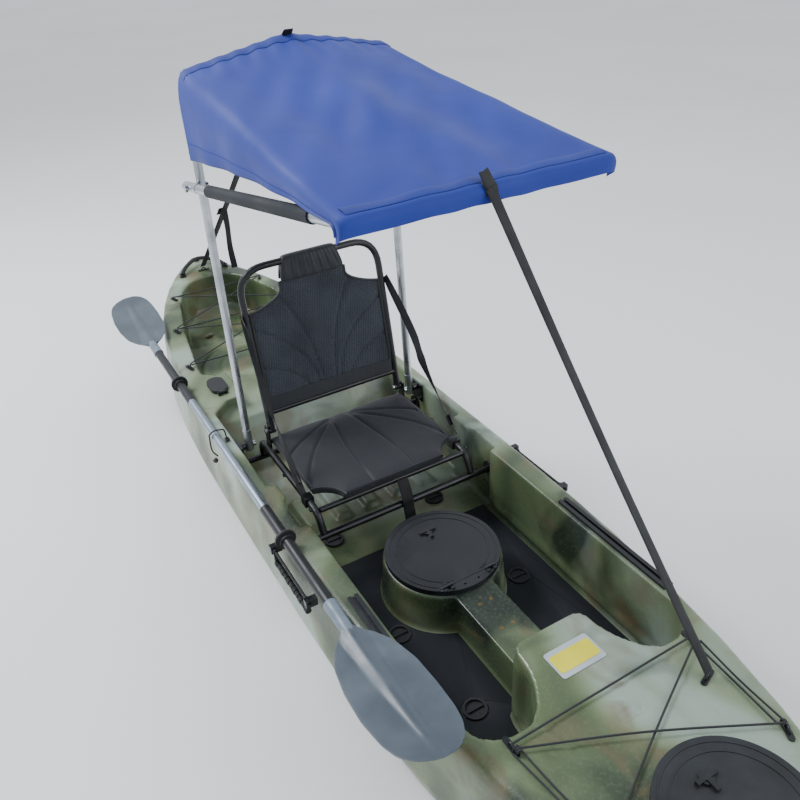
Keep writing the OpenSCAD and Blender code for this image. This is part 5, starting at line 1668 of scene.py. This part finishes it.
# ---------- cords ----------
@dataclass
class DeckCords:
    """The shock cords on the fore deck and over the tankwell.

    Attributes:
        radius: Radius of a shock cord.
        front_eye: Place of the fore deck's wide eyes.
        low_eye: Place of the eyes nearer the bow.
        tank_eyes: Places of the eyes along the tankwell.
        inset: How far inside an eye's middle a cord across ends.
    """

    radius: float = 0.0025
    front_eye: tuple[float, float] = (0.255, -0.657)
    low_eye: tuple[float, float] = (0.232, -0.925)
    tank_eyes: tuple[tuple[float, float], ...] = ((0.328, 1.281), (0.282, 1.606), (0.205, 1.900))
    inset: float = 0.004

    def run(self, name: str, points: Sequence[Point], droop: float = 0.0) -> bpy.types.Object:
        """Build one run of cord, sagging between its ends by as much as droop."""
        path = straight_path(points, 24) if len(points) == 2 else smooth_path(points, 14)
        t = np.linspace(0, 1, len(path))
        path[:, 2] -= droop * 4 * t * (1 - t)
        return tube(name, path, self.radius, 10)

    def knot(self, name: str, at: Point, size: float = 0.0065) -> bpy.types.Object:
        """Build a tied stopper: three turns of cord."""
        turns = np.linspace(0, 3 * 2 * math.pi, 54)
        path = np.array([(at[0] + size * 0.75 * math.cos(a), at[1] + (i / 53 - 0.5) * size * 2.4,
                          at[2] + size * 0.75 * math.sin(a)) for i, a in enumerate(turns)])
        return tube(name, path, self.radius, 8)

    def fore(self) -> list[bpy.types.Object]:
        """Build the cords of the fore deck."""
        fx, fy = self.front_eye
        lx, ly = self.low_eye
        made = [self.run("fore_cross_cord", [over_deck(self.inset - fx, fy, 0.010), over_deck(-0.12, fy - 0.002, 0.009),
                                             over_deck(0.0, fy - 0.003, 0.0085), over_deck(0.12, fy - 0.002, 0.009),
                                             over_deck(fx - self.inset, fy, 0.010)])]
        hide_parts("deck_cord")
        for side in Side:
            s, name = side.value, side.name.lower()
            made.append(self.run(f"fore_diagonal_cord_{name}", [
                over_deck(s * fx, fy - 0.012, 0.011), over_deck(s * 0.02, -0.784, 0.008 if s > 0 else 0.0145),
                over_deck(-s * lx, ly + 0.012, 0.011)]))
            for k, d in enumerate((-0.009, 0.009)):
                made.append(self.run(f"fore_side_cord_{name}_{k}", [
                    over_deck(s * fx + d, fy - 0.018, 0.008),
                    over_deck(s * (fx + lx) / 2 + d * 0.7, (fy + ly) / 2, 0.0065),
                    over_deck(s * lx + d, ly + 0.018, 0.008)]))
            made.append(self.knot(f"fore_cord_knot_{name}", over_deck(s * (fx - 0.004), fy - 0.016, 0.011)))
        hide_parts("deck_bungee")
        return made

    def aft(self) -> list[bpy.types.Object]:
        """Build the cords over the tankwell."""
        eyes, made = self.tank_eyes, []
        for i, (x, y) in enumerate(eyes):
            ends = [over_deck(side * (x - self.inset), y, 0.012) for side in (-1, 1)]
            made.append(self.run(f"tank_cross_cord_{i}", ends, droop=0.006))
        for i in (0, 1):
            for side in Side:
                s = side.value
                made.append(self.run(f"tank_diagonal_cord_{i}_{side.name.lower()}", [
                    over_deck(s * (eyes[i][0] - 6e-3), eyes[i][1] + 6e-3, 0.014),
                    over_deck(0.0, (eyes[i][1] + eyes[i + 1][1]) / 2, 0.016 + s * 0.003),
                    over_deck(-s * (eyes[i + 1][0] - 6e-3), eyes[i + 1][1] - 6e-3, 0.014)]))
        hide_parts("tankwell_bungee")
        return made

    def keeper(self) -> list[bpy.types.Object]:
        """Build the cord and ball that keep the paddle on the gunwale."""
        eye = over_deck(-0.370, 0.735, 0.008)
        over = PADDLE_AXIS[2] + SHAFT_RADIUS + 0.005
        x = PADDLE_AXIS[0]
        path = smooth_path([
            eye, (-0.374, 0.735, over - 0.006), (-0.388, 0.735, over + 0.001), (x, 0.735, over + 0.003),
            (x - 0.016, 0.735, over - 0.004), (x - SHAFT_RADIUS - 0.006, 0.736, over - 0.018),
            (x - SHAFT_RADIUS - 0.006, 0.739, eye[2] - 0.030), (-0.410, 0.741, eye[2] - 0.060)], 8)
        cord = tube("paddle_keeper_cord", path, 0.0026, 10)
        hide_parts("paddle_keeper")
        made = [cord]
        deselect()
        bpy.ops.mesh.primitive_uv_sphere_add(segments=28, ring_count=18, radius=0.009,
                                             location=(-0.4205, 0.741, eye[2] - 0.074))
        made.append(settle(bpy.context.object, "paddle_keeper_ball"))
        bpy.ops.mesh.primitive_cylinder_add(vertices=32, radius=0.009, depth=0.009,
                                            location=(eye[0], eye[1], eye[2] - 0.004))
        made.append(settle(bpy.context.object, "paddle_keeper_eye"))
        modify(made[-1], "BEVEL", width=0.0015, segments=2)
        for piece in made[1:]:
            smooth(piece)
            dress(piece, SMOOTH_NYLON)
        dress(cord, BRAID)
        return made

    def build(self) -> list[bpy.types.Object]:
        """Build every cord.

        Returns:
            The new pieces.
        """
        made = self.fore() + self.aft()
        for piece in made:
            dress(piece, BRAID)
        made += self.keeper()
        for piece in made:
            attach(piece, "boat")
        return made


# ---------- deck fittings ----------
@dataclass
class Plate:
    """A blank two-colour plate on the tongue: a grey film with a yellow panel let into it.

    Attributes:
        centre: Its middle.
        size: Width and length.
    """

    centre: tuple[float, float] = (0.0, -0.5545)
    size: tuple[float, float] = (0.124, 0.077)

    def panel(self, name: str, size: tuple[float, float], above: float, finish: Finish) -> bpy.types.Object:
        """Build one rounded film that follows the deck's crown."""
        deselect()
        bpy.ops.mesh.primitive_grid_add(x_subdivisions=24, y_subdivisions=14, size=1)
        film = bpy.context.object
        film.scale = (*size, 1)
        settle(film, name)
        points = points_of(film)
        half = np.array(size) / 2
        radius = 0.007
        corner = np.maximum(np.abs(points[:, :2]) - (half - radius), 0)
        far = np.linalg.norm(corner, axis=1)
        pull = np.where(far > radius, radius / np.maximum(far, 1e-9), 1)[:, None]
        flat = np.sign(points[:, :2]) * (np.minimum(np.abs(points[:, :2]), half - radius) + corner * pull)
        x, y = flat[:, 0] + self.centre[0], flat[:, 1] + self.centre[1]
        z = np.array([deck_height(a, b) for a, b in zip(x, y)]) + above
        move_points(film, np.column_stack([x, y, z]))
        modify(film, "SOLIDIFY", thickness=0.0006, offset=1.0)
        smooth(film, 30)
        dress(film, finish)
        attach(film, "boat")
        return film

    def build(self) -> list[bpy.types.Object]:
        """Build both films.

        Returns:
            The new pieces.
        """
        grey = self.panel("plate_grey_film", self.size, 0.0007, PLATE_GREY)
        yellow = self.panel("plate_yellow_film", (0.114, 0.050), 0.0014, PLATE_YELLOW)
        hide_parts("label_plate")
        return [grey, yellow]


@dataclass
class Mats:
    """The floor mats, with eased edges and milled grooves."""

    def build(self) -> list[bpy.types.Object]:
        """Build both mats.

        Returns:
            The new pieces.
        """
        made = []
        for side in Side:
            node = f"floor_mat_{side.name.lower()}"
            mat = own_copy(node, f"{node}_foam")
            modify(mat, "BEVEL", width=0.0018, segments=2, limit_method="ANGLE", angle_limit=math.radians(50))
            smooth(mat)
            dress(mat, FOAM)
            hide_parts(node)
            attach(mat, "boat")
            made.append(mat)
        return made


ASSEMBLIES = (Hull, Mats, Plate, DeckCords, SeatPad, Backrest, SeatStraps, Canopy, CanopyStraps, Blades)


def main() -> None:
    """Build the studio and the boat's sub-assemblies in order, and log each piece."""
    logging.basicConfig(level=logging.INFO, format="%(name)s %(message)s")
    deselect()
    Studio().build()
    for assembly in ASSEMBLIES:
        made = assembly().build()
        for piece in made if isinstance(made, list) else [made]:
            report(piece)
    for node, finish in NODE_FINISHES.items():
        dress_node(node, finish)
    dress_shafts()


if __name__ == "__main__":
    main()
